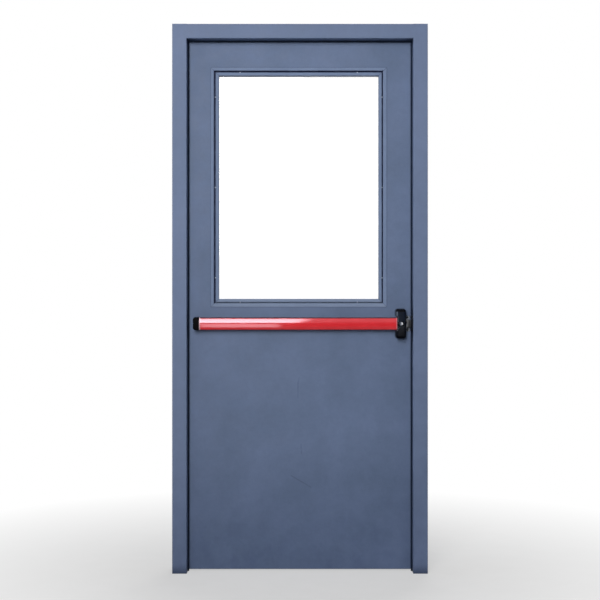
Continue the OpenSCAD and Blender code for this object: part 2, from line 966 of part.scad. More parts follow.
// Strike: base on the lock jamb's reveal and a lip behind the latch bolt
module strike() {
    lip_x = opening_x - strike_t - strike_lip;
    color([0.35, 0.36, 0.38])
        difference() {
            translate([0, 0, bar_z]) {
                translate([opening_x - strike_t, strike_y + lip_t - strike_d, -strike_h / 2])
                    cube([strike_t, strike_d, strike_h]);
                translate([0, 0, -latch_h / 2])
                    linear_extrude(latch_h)
                        polygon([
                            [opening_x - strike_t, strike_y],
                            [lip_x, strike_y],
                            [lip_x, strike_y + lip_t - lip_chamfer],
                            [lip_x + lip_chamfer, strike_y + lip_t],
                            [opening_x - strike_t, strike_y + lip_t]
                        ]);
            }
            strike_holes();
        }
}

// Runs its children at both strike screws, with +Z into the jamb
module at_strike_screws() {
    for (side = [-1, 1])
        translate([
            opening_x - strike_t,
            strike_y + lip_t - strike_d / 2,
            bar_z + side * strike_screw_z
        ])
            rotate([0, 90, 0])
                children();
}

module strike_holes() {
    at_strike_screws()
        translate([0, 0, -cut])
            cylinder(d = strike_screw_d + 2 * hole_clear, h = strike_t + frame_sheet + 2 * cut);
}

module strike_screws() {
    color([0.05, 0.05, 0.05])
        at_strike_screws()
            pan_screw(strike_head_d, strike_head_h, strike_screw_d, strike_t + 2 * frame_sheet);
}

// Convex front of the bar in section, set in by a wall, from the upper skirt to the lower one
function crown(inset) = concat(
    arc(edge_c, bar_edge_r - inset, 0, 90 - edge_angle),
    arc([0, bar_depth - bar_r], bar_r - inset, 90 - edge_angle, 90 + edge_angle, 1),
    arc([-edge_c.x, edge_c.y], bar_edge_r - inset, 90 + edge_angle, 180)
);

// Section of the pad: a convex front, two skirts and hooks turned in behind the rail
module pad_profile() {
    polygon(concat(
        [[bar_h / 2, skirt_end]],
        crown(0),
        [
            [-bar_h / 2, skirt_end],
            [hook_w - pad_in, skirt_end],
            [hook_w - pad_in, skirt_end + bar_wall],
            [-pad_in, skirt_end + bar_wall]
        ],
        reversed(crown(bar_wall)),
        [
            [pad_in, skirt_end + bar_wall],
            [pad_in - hook_w, skirt_end + bar_wall],
            [pad_in - hook_w, skirt_end]
        ]
    ));
}

// Section of the bar, height across and distance from the leaf along, run along the bar
module along_bar(x0, x1) {
    translate([0, leaf_y, bar_z])
        along_x(x0, x1)
            rotate(90)
                children();
}

module push_pad() {
    color([0.81, 0.2, 0.22])
        along_bar(bar_x0, bar_x1)
            pad_profile();
}

// Rail on the leaf: base, two walls and hooks turned out in front of the pad's hooks
module bar_rail() {
    hook_out = pad_in - slide;
    color("silver")
        along_bar(rail_x0, rail_x1)
            polygon([
                [rail_half, 0],
                [rail_half, rail_hook_y],
                [hook_out, rail_hook_y],
                [hook_out, rail_hook_y + rail_wall],
                [rail_half - rail_wall, rail_hook_y + rail_wall],
                [rail_half - rail_wall, rail_wall],
                [rail_wall - rail_half, rail_wall],
                [rail_wall - rail_half, rail_hook_y + rail_wall],
                [-hook_out, rail_hook_y + rail_wall],
                [-hook_out, rail_hook_y],
                [-rail_half, rail_hook_y],
                [-rail_half, 0]
            ]);
}

// Front outline of the end cap, rounded at its free end and set in by a wall
module cap_outline(inset) {
    x1 = bar_x0 - slide;
    half = bar_h / 2 - inset;
    r = cap_r - inset;
    x0 = x1 - cap_len + inset;
    translate([0, bar_z])
        polygon(concat(
            [[x1, -half], [x1, half]],
            arc([x0 + r, half - r], r, 90, 180),
            arc([x0 + r, r - half], r, 180, 270)
        ));
}

module end_cap() {
    color([0.06, 0.06, 0.07])
        difference() {
            hull() {
                on_leaf(0, bar_depth - cap_bevel)
                    cap_outline(0);
                on_leaf(bar_depth, bar_depth + moulding)
                    cap_outline(cap_bevel);
            }
            on_leaf(-cut, bar_depth - moulding)
                cap_outline(moulding);
            translate([bar_x0 - slide - cap_len - cap_notch_w / 2 + cap_notch_d, leaf_y + cut, bar_z])
                rotate([90, 0, 0])
                    cylinder(d = cap_notch_w, h = bar_depth + moulding + 2 * cut);
        }
}

// Front outline of the drive tongue, pointed at its free end
module tongue_outline() {
    half = tongue_h / 2;
    tip_half = half * tongue_tip_share;
    translate([0, bar_z])
        polygon([
            [bar_x1 - tongue_root, -half],
            [tongue_x1 - tongue_nose, -half],
            [tongue_x1, -tip_half],
            [tongue_x1, tip_half],
            [tongue_x1 - tongue_nose, half],
            [bar_x1 - tongue_root, half]
        ]);
}

// Steel tongue fixed in the pad's end, with a stepped head and a wedge that draws the latch bolt back
module drive_tongue() {
    tip = latch_front - (tongue_x1 - ramp_x - ramp_slack) / throw_ratio;
    back = tongue_front - tongue_t;
    back_x = ramp_x + ramp_slack + (latch_front - back) * throw_ratio;
    step_x = tongue_head_x + tongue_head_len * head_step_share;
    step_front = tongue_head_front - head_step;
    color([0.75, 0.76, 0.78])
        intersection() {
            translate([0, leaf_y, bar_z - tongue_h / 2])
                linear_extrude(tongue_h)
                    mirror([0, 1])
                        polygon([
                            [bar_x1 - tongue_root, back],
                            [back_x, back],
                            [tongue_x1, tip],
                            [tongue_x1, tongue_front],
                            [tongue_x1 - tongue_t, tongue_head_front],
                            [step_x, tongue_head_front],
                            [step_x, step_front],
                            [tongue_head_x, step_front],
                            [tongue_head_x, tongue_front],
                            [bar_x1 - tongue_root, tongue_front]
                        ]);
            on_leaf(0, cover_depth)
                tongue_outline();
        }
}

// Latch bolt: bevelled nose, two cheeks, and a slot whose slanted end the wedge pushes
module latch_bolt() {
    slot_h = tongue_h + 2 * latch_clear;
    color([0.55, 0.56, 0.58])
        translate([0, leaf_y, bar_z])
            mirror([0, 1, 0])
                difference() {
                    translate([0, 0, -latch_h / 2])
                        linear_extrude(latch_h)
                            polygon([
                                [tail_x, latch_lift],
                                [latch_nose, latch_lift],
                                [latch_nose, latch_front - nose_bevel],
                                [latch_nose - nose_bevel, latch_front],
                                [tail_x, latch_front]
                            ]);
                    translate([0, 0, -slot_h / 2])
                        linear_extrude(slot_h)
                            polygon([
                                [ramp_x - cut * throw_ratio, latch_front + cut],
                                [slot_x1, latch_front + cut],
                                [slot_x1, latch_lift - cut],
                                [ramp_x + (latch_t + cut) * throw_ratio, latch_lift - cut]
                            ]);
                }
}

// Guide above the latch bolt: a wall beside the bolt and a ledge behind it
module latch_guide() {
    cheek = latch_h / 2 + slide;
    box(
        [guide_x0, leaf_y - latch_front, cheek],
        [guide_x1, leaf_y - lock_plate, cheek + guide_wall]
    );
    box(
        [guide_x0, leaf_y - latch_lift + slide, cheek - guide_ledge],
        [guide_x1, leaf_y - lock_plate, cheek]
    );
}

// Base of the lock on the leaf, with a guide above and below the latch bolt and an ear past the cover
module lock_base() {
    color([0.35, 0.36, 0.38])
        difference() {
            union() {
                on_leaf(0, lock_plate)
                    translate([base_x0, bar_z - base_h / 2])
                        square([guide_x1 - base_x0, base_h]);
                on_leaf(0, lock_plate)
                    translate([(guide_x0 + ear_x1) / 2, bar_z])
                        polygon(rounded(ear_x1 - guide_x0, ear_h, ear_r));
                for (side = [0, 1])
                    translate([0, 0, bar_z])
                        mirror([0, 0, side])
                            latch_guide();
            }
            lock_screw_holes();
        }
}

// Runs its children at both lock screws, with +Z into the leaf
module at_lock_screws() {
    for (side = [-1, 1])
        translate([lock_screw_x, leaf_y - lock_plate, bar_z + side * lock_screw_z])
            rotate([-90, 0, 0])
                children();
}

module lock_screw_holes() {
    at_lock_screws()
        translate([0, 0, -cut])
            cylinder(
                d = lock_screw_d + 2 * hole_clear,
                h = lock_plate + leaf_sheet + backing_t + 2 * cut
            );
}

module lock_screws() {
    color([0.05, 0.05, 0.05])
        at_lock_screws()
            pan_screw(lock_head_d, lock_head_h, lock_screw_d, lock_plate + leaf_sheet + backing_t);
}

// Front outline of the lock cover, set in by a wall
module cover_outline(inset) {
    translate([(cover_x0 + cover_x1) / 2, bar_z])
        polygon(rounded(cover_w - 2 * inset, cover_h - 2 * inset, cover_r - inset));
}

// Front outline of the cover's flat face, set in by a wall
module cover_face(inset) {
    face_w = cover_w - cover_bar_lean - cover_latch_lean;
    face_h = cover_h - cover_top_lean - cover_foot_lean;
    face_z = bar_z + (cover_foot_lean - cover_top_lean) / 2;
    translate([cover_x0 + cover_bar_lean + face_w / 2, face_z])
        polygon(rounded(face_w - 2 * inset, face_h - 2 * inset, cover_r - inset));
}

// Form of the cover, set in by a wall, with sides that lean in to its face
module cover_form(inset, from_lift) {
    hull() {
        on_leaf(from_lift, cover_depth - cover_slope)
            cover_outline(inset);
        on_leaf(cover_depth - inset - slab, cover_depth - inset)
            cover_face(inset);
    }
}

// Cut for the end of the bar, with a bulging inner side
module cover_bar_cut() {
    depth = cover_notch - notch_bulge;
    bulge_r = (notch_h * notch_h / 4 + notch_bulge * notch_bulge) / (2 * notch_bulge);
    half_angle = asin(notch_h / 2 / bulge_r);
    translate([cover_x0, bar_z])
        polygon(concat(
            [[-cut, notch_h / 2], [-cut, -notch_h / 2]],
            arc([depth + notch_bulge - bulge_r, 0], bulge_r, -half_angle, half_angle)
        ));
}

module lock_cover() {
    slot_z = latch_h / 2 + latch_clear;
    color([0.07, 0.07, 0.08])
        difference() {
            cover_form(0, 0);
            cover_form(moulding, -cut);
            on_leaf(-cut, cover_depth + cut)
                cover_bar_cut();
            box(
                [cover_x0 + cover_notch - cut, leaf_y - cover_depth - cut, bar_z - window_slot_h / 2],
                [tongue_x1 + moulding, leaf_y - latch_front, bar_z + window_slot_h / 2]
            );
            box(
                [cover_x1 - moulding - cut, leaf_y - latch_front - slide, bar_z - slot_z],
                [cover_x1 + cut, leaf_y - latch_lift + slide, bar_z + slot_z]
            );
            box(
                [cover_x1 - moulding - cut, leaf_y - lock_plate - slide, bar_z - ear_h / 2 - slide],
                [cover_x1 + cut, leaf_y + cut, bar_z + ear_h / 2 + slide]
            );
        }
}

module hinge_lower_frame_wing() { frame_wing_piece(0); }
module hinge_middle_frame_wing() { frame_wing_piece(1); }
module hinge_upper_frame_wing() { frame_wing_piece(2); }
module hinge_lower_leaf_wing() { leaf_wing_piece(0); }
module hinge_middle_leaf_wing() { leaf_wing_piece(1); }
module hinge_upper_leaf_wing() { leaf_wing_piece(2); }
module liner_bottom() { liner(0); }
module liner_right() { liner(1); }
module liner_top() { liner(2); }
module liner_left() { liner(3); }
module casing_bottom() { casing(0); }
module casing_right() { casing(1); }
module casing_top() { casing(2); }
module casing_left() { casing(3); }
module bead_bottom() { bead(0); }
module bead_right() { bead(1); }
module bead_top() { bead(2); }
module bead_left() { bead(3); }
module pull_casing_bottom() { pull_casing(0); }
module pull_casing_right() { pull_casing(1); }
module pull_casing_top() { pull_casing(2); }
module pull_casing_left() { pull_casing(3); }

hinge_jamb();
lock_jamb();
frame_head();
seal_hinge_side();
seal_lock_side();
seal_head();
fire_strip_hinge_side();
fire_strip_lock_side();
fire_strip_head();
hinge_lower_frame_wing();
hinge_middle_frame_wing();
hinge_upper_frame_wing();
hinge_pins();
hinge_washers();
hinge_frame_screws();
strike();
strike_screws();
push_skin();
pull_skin();
mineral_core();
hinge_backing_plates();
lock_backing_plate();
liner_bottom();
liner_right();
liner_top();
liner_left();
casing_bottom();
casing_right();
casing_top();
casing_left();
bead_bottom();
bead_right();
bead_top();
bead_left();
bead_screws();
pull_casing_bottom();
pull_casing_right();
pull_casing_top();
pull_casing_left();
glass_pane();
glazing_tape_push();
glazing_tape_pull();
setting_blocks();
hinge_lower_leaf_wing();
hinge_middle_leaf_wing();
hinge_upper_leaf_wing();
hinge_leaf_screws();
bar_rail();
end_cap();
lock_base();
lock_screws();
lock_cover();
push_pad();
drive_tongue();
latch_bolt();
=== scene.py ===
"""Looks of the glazed steel door: paint, metal, rubber and glass, and the fine pieces that finish its solids.

Lengths are in metres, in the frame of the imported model: +X from the hinge side to the lock side, +Y from
the push side to the pull side, +Z up.
"""
import json
import math

import bmesh
import bpy
from mathutils import Matrix, Vector


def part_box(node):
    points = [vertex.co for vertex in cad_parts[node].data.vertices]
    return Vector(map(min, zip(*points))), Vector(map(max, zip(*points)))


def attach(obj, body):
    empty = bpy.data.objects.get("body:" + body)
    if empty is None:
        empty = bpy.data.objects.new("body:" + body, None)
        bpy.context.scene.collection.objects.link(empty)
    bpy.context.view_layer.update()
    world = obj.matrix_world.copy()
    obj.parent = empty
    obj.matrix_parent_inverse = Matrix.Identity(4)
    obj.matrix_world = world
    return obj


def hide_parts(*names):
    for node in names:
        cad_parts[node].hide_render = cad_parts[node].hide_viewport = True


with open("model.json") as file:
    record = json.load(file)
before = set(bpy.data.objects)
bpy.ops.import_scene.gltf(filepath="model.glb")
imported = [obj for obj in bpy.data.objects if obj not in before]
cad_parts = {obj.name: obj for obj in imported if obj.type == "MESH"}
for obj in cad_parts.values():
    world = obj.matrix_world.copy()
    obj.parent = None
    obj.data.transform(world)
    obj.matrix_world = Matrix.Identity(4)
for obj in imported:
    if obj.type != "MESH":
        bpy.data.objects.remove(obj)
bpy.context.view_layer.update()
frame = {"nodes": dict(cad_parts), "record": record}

MM = 0.001
X, Y, Z = range(3)
WHITE = (1, 1, 1, 1)

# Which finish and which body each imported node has
slot_of = {part["node"]: part["material_slot"] for part in frame["record"]["subparts"]}
body_of = {node: body for body, nodes in frame["record"]["behaviour"]["bodies"].items() for node in nodes}


# Camera: level, square to the door, at the distance that shows the reveals as wide as in the photograph

CAMERA_PLACE = (0.0, -4.564, 1.070)
CAMERA_TURN = (math.radians(90), 0, 0)
CAMERA_LENS = 69.07
SENSOR_WIDTH = 36.0
VIEW_END = 200.0


def set_camera():
    """Puts the camera in front of the push side."""
    bpy.ops.object.camera_add(location=CAMERA_PLACE, rotation=CAMERA_TURN)
    camera = bpy.context.object
    camera.data.lens = CAMERA_LENS
    camera.data.sensor_width = SENSOR_WIDTH
    camera.data.clip_end = VIEW_END
    bpy.context.scene.camera = camera


# Small helpers for shader trees

# Noise seldom leaves this range
NOISE_LOW = 0.3
NOISE_HIGH = 0.7


def srgb(red, green, blue):
    """A colour as a screen shows it, 0 to 255, as the linear colour that a shader takes."""
    def linear(value):
        value /= 255
        return value / 12.92 if value <= 0.04045 else ((value + 0.055) / 1.055) ** 2.4
    return (linear(red), linear(green), linear(blue), 1.0)


def add(tree, kind, inputs=None, **properties):
    """A node of a shader tree. Each input is a plain value or another node's output socket."""
    made = tree.nodes.new("ShaderNode" + kind)
    for name, value in properties.items():
        setattr(made, name, value)
    for name, value in (inputs or {}).items():
        if isinstance(value, bpy.types.NodeSocket):
            tree.links.new(value, made.inputs[name])
        else:
            made.inputs[name].default_value = value
    return made


def mixed(tree, share, first, second):
    """Two colours blended by a share."""
    return add(tree, "Mix", {0: share, 6: first, 7: second}, data_type="RGBA").outputs[2]


def mapped(tree, value, low, high, to_low=0.0, to_high=1.0):
    """A value carried from one range to another, and kept inside it."""
    inputs = {"Value": value, "From Min": low, "From Max": high, "To Min": to_low, "To Max": to_high}
    return add(tree, "MapRange", inputs).outputs[0]


def spread_noise(tree, value, to_low=0.0, to_high=1.0):
    """Noise, which stays near its middle, spread over a whole range."""
    return mapped(tree, value, NOISE_LOW, NOISE_HIGH, to_low, to_high)


def swung(tree, value, level, swing):
    """A level that noise swings up and down."""
    return spread_noise(tree, value, level - swing, level + swing)


def reckoned(tree, operation, first, second):
    """Two values put together by one sum."""
    return add(tree, "Math", {0: first, 1: second}, operation=operation).outputs[0]


def times(tree, first, second):
    """Two values multiplied."""
    return reckoned(tree, "MULTIPLY", first, second)


def laid_over(tree, under, over, mask, share):
    """A colour laid over another where a mask shows, by a share."""
    return mixed(tree, times(tree, mask, share), under, over)


def distance_from(tree, value, centre):
    """How far a value lies from a centre, to either side."""
    return add(tree, "Math", {0: reckoned(tree, "SUBTRACT", value, centre)}, operation="ABSOLUTE").outputs[0]


def vectors(tree, operation, first, second):
    """The outputs, Vector and Value, of one sum of two vectors."""
    return add(tree, "VectorMath", {0: first, 1: second}, operation=operation).outputs


def axes_of(tree, vector):
    """The X, Y and Z of a vector."""
    return add(tree, "SeparateXYZ", {0: vector}).outputs


def surface_place(tree):
    """Where a point of the surface is, in the piece's own frame."""
    return add(tree, "TexCoord").outputs["Object"]


def noise(tree, place, scale, detail=4.0, roughness=0.55):
    """Cloudy noise over the surface, from 0 to 1."""
    inputs = {"Vector": place, "Scale": scale, "Detail": detail, "Roughness": roughness}
    return add(tree, "TexNoise", inputs).outputs["Fac"]


def new_group(name, inputs, outputs):
    """An empty node group with named sockets of given kinds, and its input sockets."""
    tree = bpy.data.node_groups.new(name, "ShaderNodeTree")
    for way, sockets in (("INPUT", inputs), ("OUTPUT", outputs)):
        for label, kind in sockets.items():
            tree.interface.new_socket(label, in_out=way, socket_type="NodeSocket" + kind)
    return tree, tree.nodes.new("NodeGroupInput").outputs


def close_group(tree, results):
    """Joins the results to the group's outputs."""
    end = tree.nodes.new("NodeGroupOutput")
    for label, socket in results.items():
        tree.links.new(socket, end.inputs[label])
    return tree


def placed(tree, group, **values):
    """A group placed in a material. All its inputs are given, by their names in lower case."""
    made = add(tree, "Group", node_tree=group)
    for socket in made.inputs:
        socket.default_value = values[socket.name.lower().replace(" ", "_")]
    return made.outputs


# Effects that several finishes share. A row of four numbers is a range of noise or of distance, and the
# range of shares that it is carried to.

CLOUD_RANGE = (0.36, 0.66)
MOTTLE_FINER = 7.0
GRAIN_FINER = 90.0
EDGE_MATCH = (0.99, 0.8)
EDGE_BREAKS = (0.3, 0.6, 0.35, 1.0)
# Least share of the darkening towards the floor, which is partly soil and partly painted shade
LEAST_SOIL_AND_SHADE = 0.4
SMUDGE_SCALE = 25.0
# Noise that breaks up the painted shade in grooves and corners
SHADE_BREAKS = (0.2, 0.6, 0.85, 1.0)
TONE_SCALE = 30.0
SEAM_LINE = (0.4, 1.0, 1.0, 0.0)
# Where the dust and painted light of the lower groove begin and are full
DUST_AND_LIGHT_REACH = (22.0 * MM, 19.0 * MM)
DUST_SCALE = 90.0
DUST_SPECKS = (0.3, 0.6, 0.6, 1.0)
SCRATCH_LINE = (0.25, 0.6, 1.0, 0.0)
SCRATCH_BREAK_SCALE = 40.0
SCRATCH_BREAKS = (0.35, 0.6, 0.4, 1.0)


def make_cloudy_coat():
    """Sprayed satin coat: soft clouds of a second tone, faint spray mottle and orange peel."""
    tree, inputs = new_group(
        "cloudy_coat",
        {"Coat": "Color", "Cloud": "Color", "Cloud Scale": "Float", "Peel Scale": "Float"},
        {"Color": "Color", "Sheen Spread": "Float", "Height": "Float"})
    place = surface_place(tree)
    scale = inputs["Cloud Scale"]
    clouds = noise(tree, place, scale, detail=5.0, roughness=0.6)
    mottle = noise(tree, place, times(tree, scale, MOTTLE_FINER), roughness=0.6)
    grain = noise(tree, place, times(tree, scale, GRAIN_FINER), detail=2.0)
    tone = mixed(tree, mapped(tree, clouds, *CLOUD_RANGE), inputs["Coat"], inputs["Cloud"])
    level = times(tree, swung(tree, mottle, 1.0, swing=0.05), swung(tree, grain, 1.0, swing=0.025))
    shaded = add(tree, "HueSaturation", {"Color": tone, "Value": level}).outputs[0]
    peel = noise(tree, place, inputs["Peel Scale"], detail=2.0)
    return close_group(tree, {"Color": shaded, "Sheen Spread": mottle, "Height": peel})


def make_edge_wear_and_sheen():
    """Edges that are rubbed, and on paint also given a painted highlight: the rounded normal against the flat
    one, broken up by noise.
    """
    tree, inputs = new_group(
        "edge_wear",
        {"Radius": "Float", "Break Scale": "Float"},
        {"Mask": "Float", "Normal": "Vector"})
    rounded = add(tree, "Bevel", {"Radius": inputs["Radius"]}, samples=6).outputs["Normal"]
    flat = add(tree, "NewGeometry").outputs["Normal"]
    match = vectors(tree, "DOT_PRODUCT", rounded, flat)["Value"]
    edge = mapped(tree, match, *EDGE_MATCH)
    breaks = mapped(tree, noise(tree, surface_place(tree), inputs["Break Scale"]), *EDGE_BREAKS)
    return close_group(tree, {"Mask": times(tree, edge, breaks), "Normal": rounded})


def make_floor_soil_and_shade():
    """Darkening that thins out upwards from the floor, in soft patches: partly soil, partly painted shade."""
    tree, inputs = new_group(
        "floor_soil",
        {"Reach": "Float", "Patch Scale": "Float"},
        {"Mask": "Float"})
    place = surface_place(tree)
    rise = reckoned(tree, "DIVIDE", axes_of(tree, place)["Z"], inputs["Reach"])
    low = reckoned(tree, "SUBTRACT", 1.0, rise)
    cloud = noise(tree, place, inputs["Patch Scale"], detail=5.0, roughness=0.65)
    patches = spread_noise(tree, cloud, LEAST_SOIL_AND_SHADE, 1.0)
    return close_group(tree, {"Mask": times(tree, mapped(tree, low, 0.0, 1.0), patches)})


def make_drawn_streaks():
    """Fine lines along one direction, as rolling, drawing or wiping leaves them."""
    tree, inputs = new_group(
        "drawn_streaks",
        {"Stretch": "Vector"},
        {"Streak": "Float", "Smudge": "Float"})
    place = surface_place(tree)
    drawn = vectors(tree, "MULTIPLY", place, inputs["Stretch"])["Vector"]
    return close_group(tree, {"Streak": noise(tree, drawn, 1.0), "Smudge": noise(tree, place, SMUDGE_SCALE)})


def make_painted_crevice_shade():
    """Painted shade in grooves, reveals and inner corners, by ambient occlusion, broken up by noise."""
    tree, inputs = new_group(
        "crevice_grime",
        {"Distance": "Float", "Open": "Float", "Shut": "Float", "Break Scale": "Float"},
        {"Mask": "Float"})
    openness = add(tree, "AmbientOcclusion", {"Distance": inputs["Distance"]}, samples=8).outputs["AO"]
    shut_in = mapped(tree, openness, inputs["Open"], inputs["Shut"])
    breaks = mapped(tree, noise(tree, surface_place(tree), inputs["Break Scale"]), *SHADE_BREAKS)
    return close_group(tree, {"Mask": times(tree, shut_in, breaks)})


def make_moulded_grain():
    """Fine spark-eroded grain of a moulding, with slow shifts of tone."""
    tree, inputs = new_group(
        "moulded_grain",
        {"Grain Scale": "Float"},
        {"Height": "Float", "Tone": "Float"})
    place = surface_place(tree)
    cells = add(tree, "TexVoronoi", {"Vector": place, "Scale": inputs["Grain Scale"]}).outputs["Distance"]
    return close_group(tree, {"Height": cells, "Tone": noise(tree, place, TONE_SCALE)})


def make_mitre_seams():
    """Hairlines on the diagonals of the window's corners, its lower length, and dust with painted light in
    the groove there.
    """
    tree, inputs = new_group(
        "mitre_seams",
        {"Centre": "Vector", "Half": "Vector", "Width": "Float"},
        {"Mask": "Float", "Ledge": "Float", "Dust": "Float"})
    place = surface_place(tree)
    off = vectors(tree, "SUBTRACT", place, inputs["Centre"])["Vector"]
    out = add(tree, "VectorMath", {0: off}, operation="ABSOLUTE").outputs["Vector"]
    inside = axes_of(tree, vectors(tree, "SUBTRACT", inputs["Half"], out)["Vector"])
    apart = distance_from(tree, inside["X"], inside["Z"])
    line = mapped(tree, reckoned(tree, "DIVIDE", apart, inputs["Width"]), *SEAM_LINE)
    below = reckoned(tree, "LESS_THAN", axes_of(tree, off)["Z"], 0.0)
    ledge = times(tree, below, reckoned(tree, "LESS_THAN", inside["Z"], inside["X"]))
    low = times(tree, ledge, mapped(tree, inside["Z"], *DUST_AND_LIGHT_REACH))
    specks = mapped(tree, noise(tree, place, DUST_SCALE), *DUST_SPECKS)
    return close_group(tree, {"Mask": line, "Ledge": ledge, "Dust": times(tree, low, specks)})


def make_scratch():
    """One straight scratch between two points of the surface."""
    tree, inputs = new_group(
        "scratch",
        {"Start": "Vector", "End": "Vector", "Width": "Float"},
        {"Mask": "Float"})
    place = surface_place(tree)
    run = vectors(tree, "SUBTRACT", inputs["End"], inputs["Start"])["Vector"]
    off = vectors(tree, "SUBTRACT", place, inputs["Start"])["Vector"]
    share = reckoned(tree, "DIVIDE", vectors(tree, "DOT_PRODUCT", off, run)["Value"],
                     vectors(tree, "DOT_PRODUCT", run, run)["Value"])
    along_run = {0: run, "Scale": mapped(tree, share, 0.0, 1.0)}
    foot = add(tree, "VectorMath", along_run, operation="SCALE").outputs["Vector"]
    apart = vectors(tree, "DISTANCE", off, foot)["Value"]
    line = mapped(tree, reckoned(tree, "DIVIDE", apart, inputs["Width"]), *SCRATCH_LINE)
    breaks = mapped(tree, noise(tree, place, SCRATCH_BREAK_SCALE, detail=3.0), *SCRATCH_BREAKS)
    return close_group(tree, {"Mask": times(tree, line, breaks)})


cloudy_coat = make_cloudy_coat()
edge_wear = make_edge_wear_and_sheen()
floor_soil = make_floor_soil_and_shade()
drawn_streaks = make_drawn_streaks()
crevice_grime = make_painted_crevice_shade()
moulded_grain = make_moulded_grain()
mitre_seams = make_mitre_seams()
scratch = make_scratch()


# Finishes

def open_tree(owner):
    """The shader tree of a material or a world, emptied."""
    owner.use_nodes = True
    owner.node_tree.nodes.clear()
    return owner.node_tree


def new_finish(name):
    """A material with its surface shader, and the tree that they are in."""
    material = bpy.data.materials.new(name)
    tree = open_tree(material)
    shader = add(tree, "BsdfPrincipled")
    add(tree, "OutputMaterial", {"Surface": shader.outputs[0]})
    return material, tree, shader


def covered(tree, shader, colour, roughness, height, strength, distance, normal=None):
    """Joins a colour, a roughness and a raised surface, over a rounded normal or its own, to a shader."""
    bump = add(tree, "Bump", {"Height": height, "Strength": strength, "Distance": distance})
    if normal is not None:
        tree.links.new(normal, bump.inputs["Normal"])
    tree.links.new(colour, shader.inputs["Base Color"])
    tree.links.new(roughness, shader.inputs["Roughness"])
    tree.links.new(bump.outputs[0], shader.inputs["Normal"])


# Paint of frame, leaf and window casing

# Pale tone of rubbed edges, partly a painted highlight, also the painted light on the lower window casing
RUBBED_AND_LIT_PAINT = srgb(158, 170, 192)
# Painted shade in corners and reveals, also the tone of grime in scratches and mitre seams
PAINTED_SHADE_AND_GRIME = srgb(20, 31, 56)
# Painted shade in the window's grooves
GROOVE_PAINTED_SHADE = srgb(3, 14, 54)
# Pale tone in the lower groove: dust and painted light
DUST_AND_LIGHT = srgb(136, 152, 178)
# Dark tone towards the floor: partly soil, partly painted shade
SOIL_AND_SHADE = srgb(24, 42, 88)
PAINT_GLOSS = {"frame_paint": 0.2, "leaf_paint": 0.2, "trim_paint": 0.12}

# How far each paint looks rounded at its folds, and is rubbed pale there with a painted highlight
FOLD_R = {"frame_paint": 0.3 * MM, "leaf_paint": 1.0 * MM, "trim_paint": 1.0 * MM}

# Start and end of the faint scratches on the push side of the leaf, across and up
SCRATCHES = (
    ((-3 * MM, 764 * MM), (-8 * MM, 742 * MM)),
    ((-8 * MM, 742 * MM), (-8 * MM, 682 * MM)),
    ((4 * MM, 499 * MM), (6 * MM, 464 * MM)),
    ((-35 * MM, 376 * MM), (43 * MM, 330 * MM)),
)


def corners(points):
    """Low and high corner of the box round some points."""
    low = Vector(min(point[axis] for point in points) for axis in range(3))
    high = Vector(max(point[axis] for point in points) for axis in range(3))
    return low, high


def painted_steel(name, coat, cloud, cloud_scale, grime_reach, grime_open, grime_shut, shade_share):
    """Satin paint on folded sheet: pale edges of wear and painted highlight, soil and painted shade at the
    floor, painted shade in grooves.
    """
    material, tree, shader = new_finish(name)
    film = placed(tree, cloudy_coat, coat=coat, cloud=cloud, cloud_scale=cloud_scale, peel_scale=520.0)
    edge_marks = placed(tree, edge_wear, radius=FOLD_R[name], break_scale=45.0)
    soil_and_shade = placed(tree, floor_soil, reach=0.5, patch_scale=14.0)
    painted_shade = placed(tree, crevice_grime, distance=grime_reach, open=grime_open, shut=grime_shut,
                   break_scale=30.0)
    # Paler edges: partly wear, partly a painted highlight
    colour = laid_over(tree, film["Color"], RUBBED_AND_LIT_PAINT, edge_marks["Mask"], share=0.3)
    # Darker towards the floor: partly soil, partly painted shade
    colour = laid_over(tree, colour, SOIL_AND_SHADE, soil_and_shade["Mask"], share=0.28)
    # Painted shade in grooves, reveals and corners, and a thin painted shadow along the casing on the leaf
    shade_mask = times(tree, painted_shade["Mask"], shade_share)
    colour = mixed(tree, shade_mask, colour, GROOVE_PAINTED_SHADE if name == "trim_paint" else PAINTED_SHADE_AND_GRIME)
    if name == "trim_paint":
        sides = ("bottom", "right", "top", "left")
        low, high = corners([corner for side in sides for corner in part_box("casing_" + side)])
        seams = placed(tree, mitre_seams, centre=(low + high) / 2, half=(high - low) / 2, width=2.2 * MM)
        # The lower length of the window casing painted paler: painted light
        colour = laid_over(tree, colour, RUBBED_AND_LIT_PAINT, seams["Ledge"], share=0.25)
        colour = laid_over(tree, colour, PAINTED_SHADE_AND_GRIME, seams["Mask"], share=0.35)
        # The painted shade of the lower groove lifted by a pale tone: dust and painted light
        colour = laid_over(tree, colour, DUST_AND_LIGHT, times(tree, shade_mask, seams["Dust"]), share=0.9)
    if name == "leaf_paint":
        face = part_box("push_skin")[0].y
        for start, end in SCRATCHES:
            line = placed(tree, scratch, start=(start[0], face, start[1]), end=(end[0], face, end[1]),
                          width=5 * MM)
            colour = laid_over(tree, colour, PAINTED_SHADE_AND_GRIME, line["Mask"], share=0.22)
    covered(tree, shader, colour, roughness=spread_noise(tree, film["Sheen Spread"], 0.44, 0.58),
            height=film["Height"], strength=0.12, distance=0.15 * MM, normal=edge_marks["Normal"])
    shader.inputs["Specular IOR Level"].default_value = PAINT_GLOSS[name]
    return material


# Red coat of the push pad

RED = srgb(232, 42, 50)
RED_SMUDGE = srgb(240, 50, 58)
# Painted shade on the lower band and the bent edges, painted highlight on the two ends
RED_SHADE_BELOW = srgb(112, 12, 18)
RED_BEND_SHADE = srgb(40, 6, 18)
FREE_END_HIGHLIGHT = srgb(244, 214, 220)
LOCK_END_HIGHLIGHT = srgb(228, 150, 158)


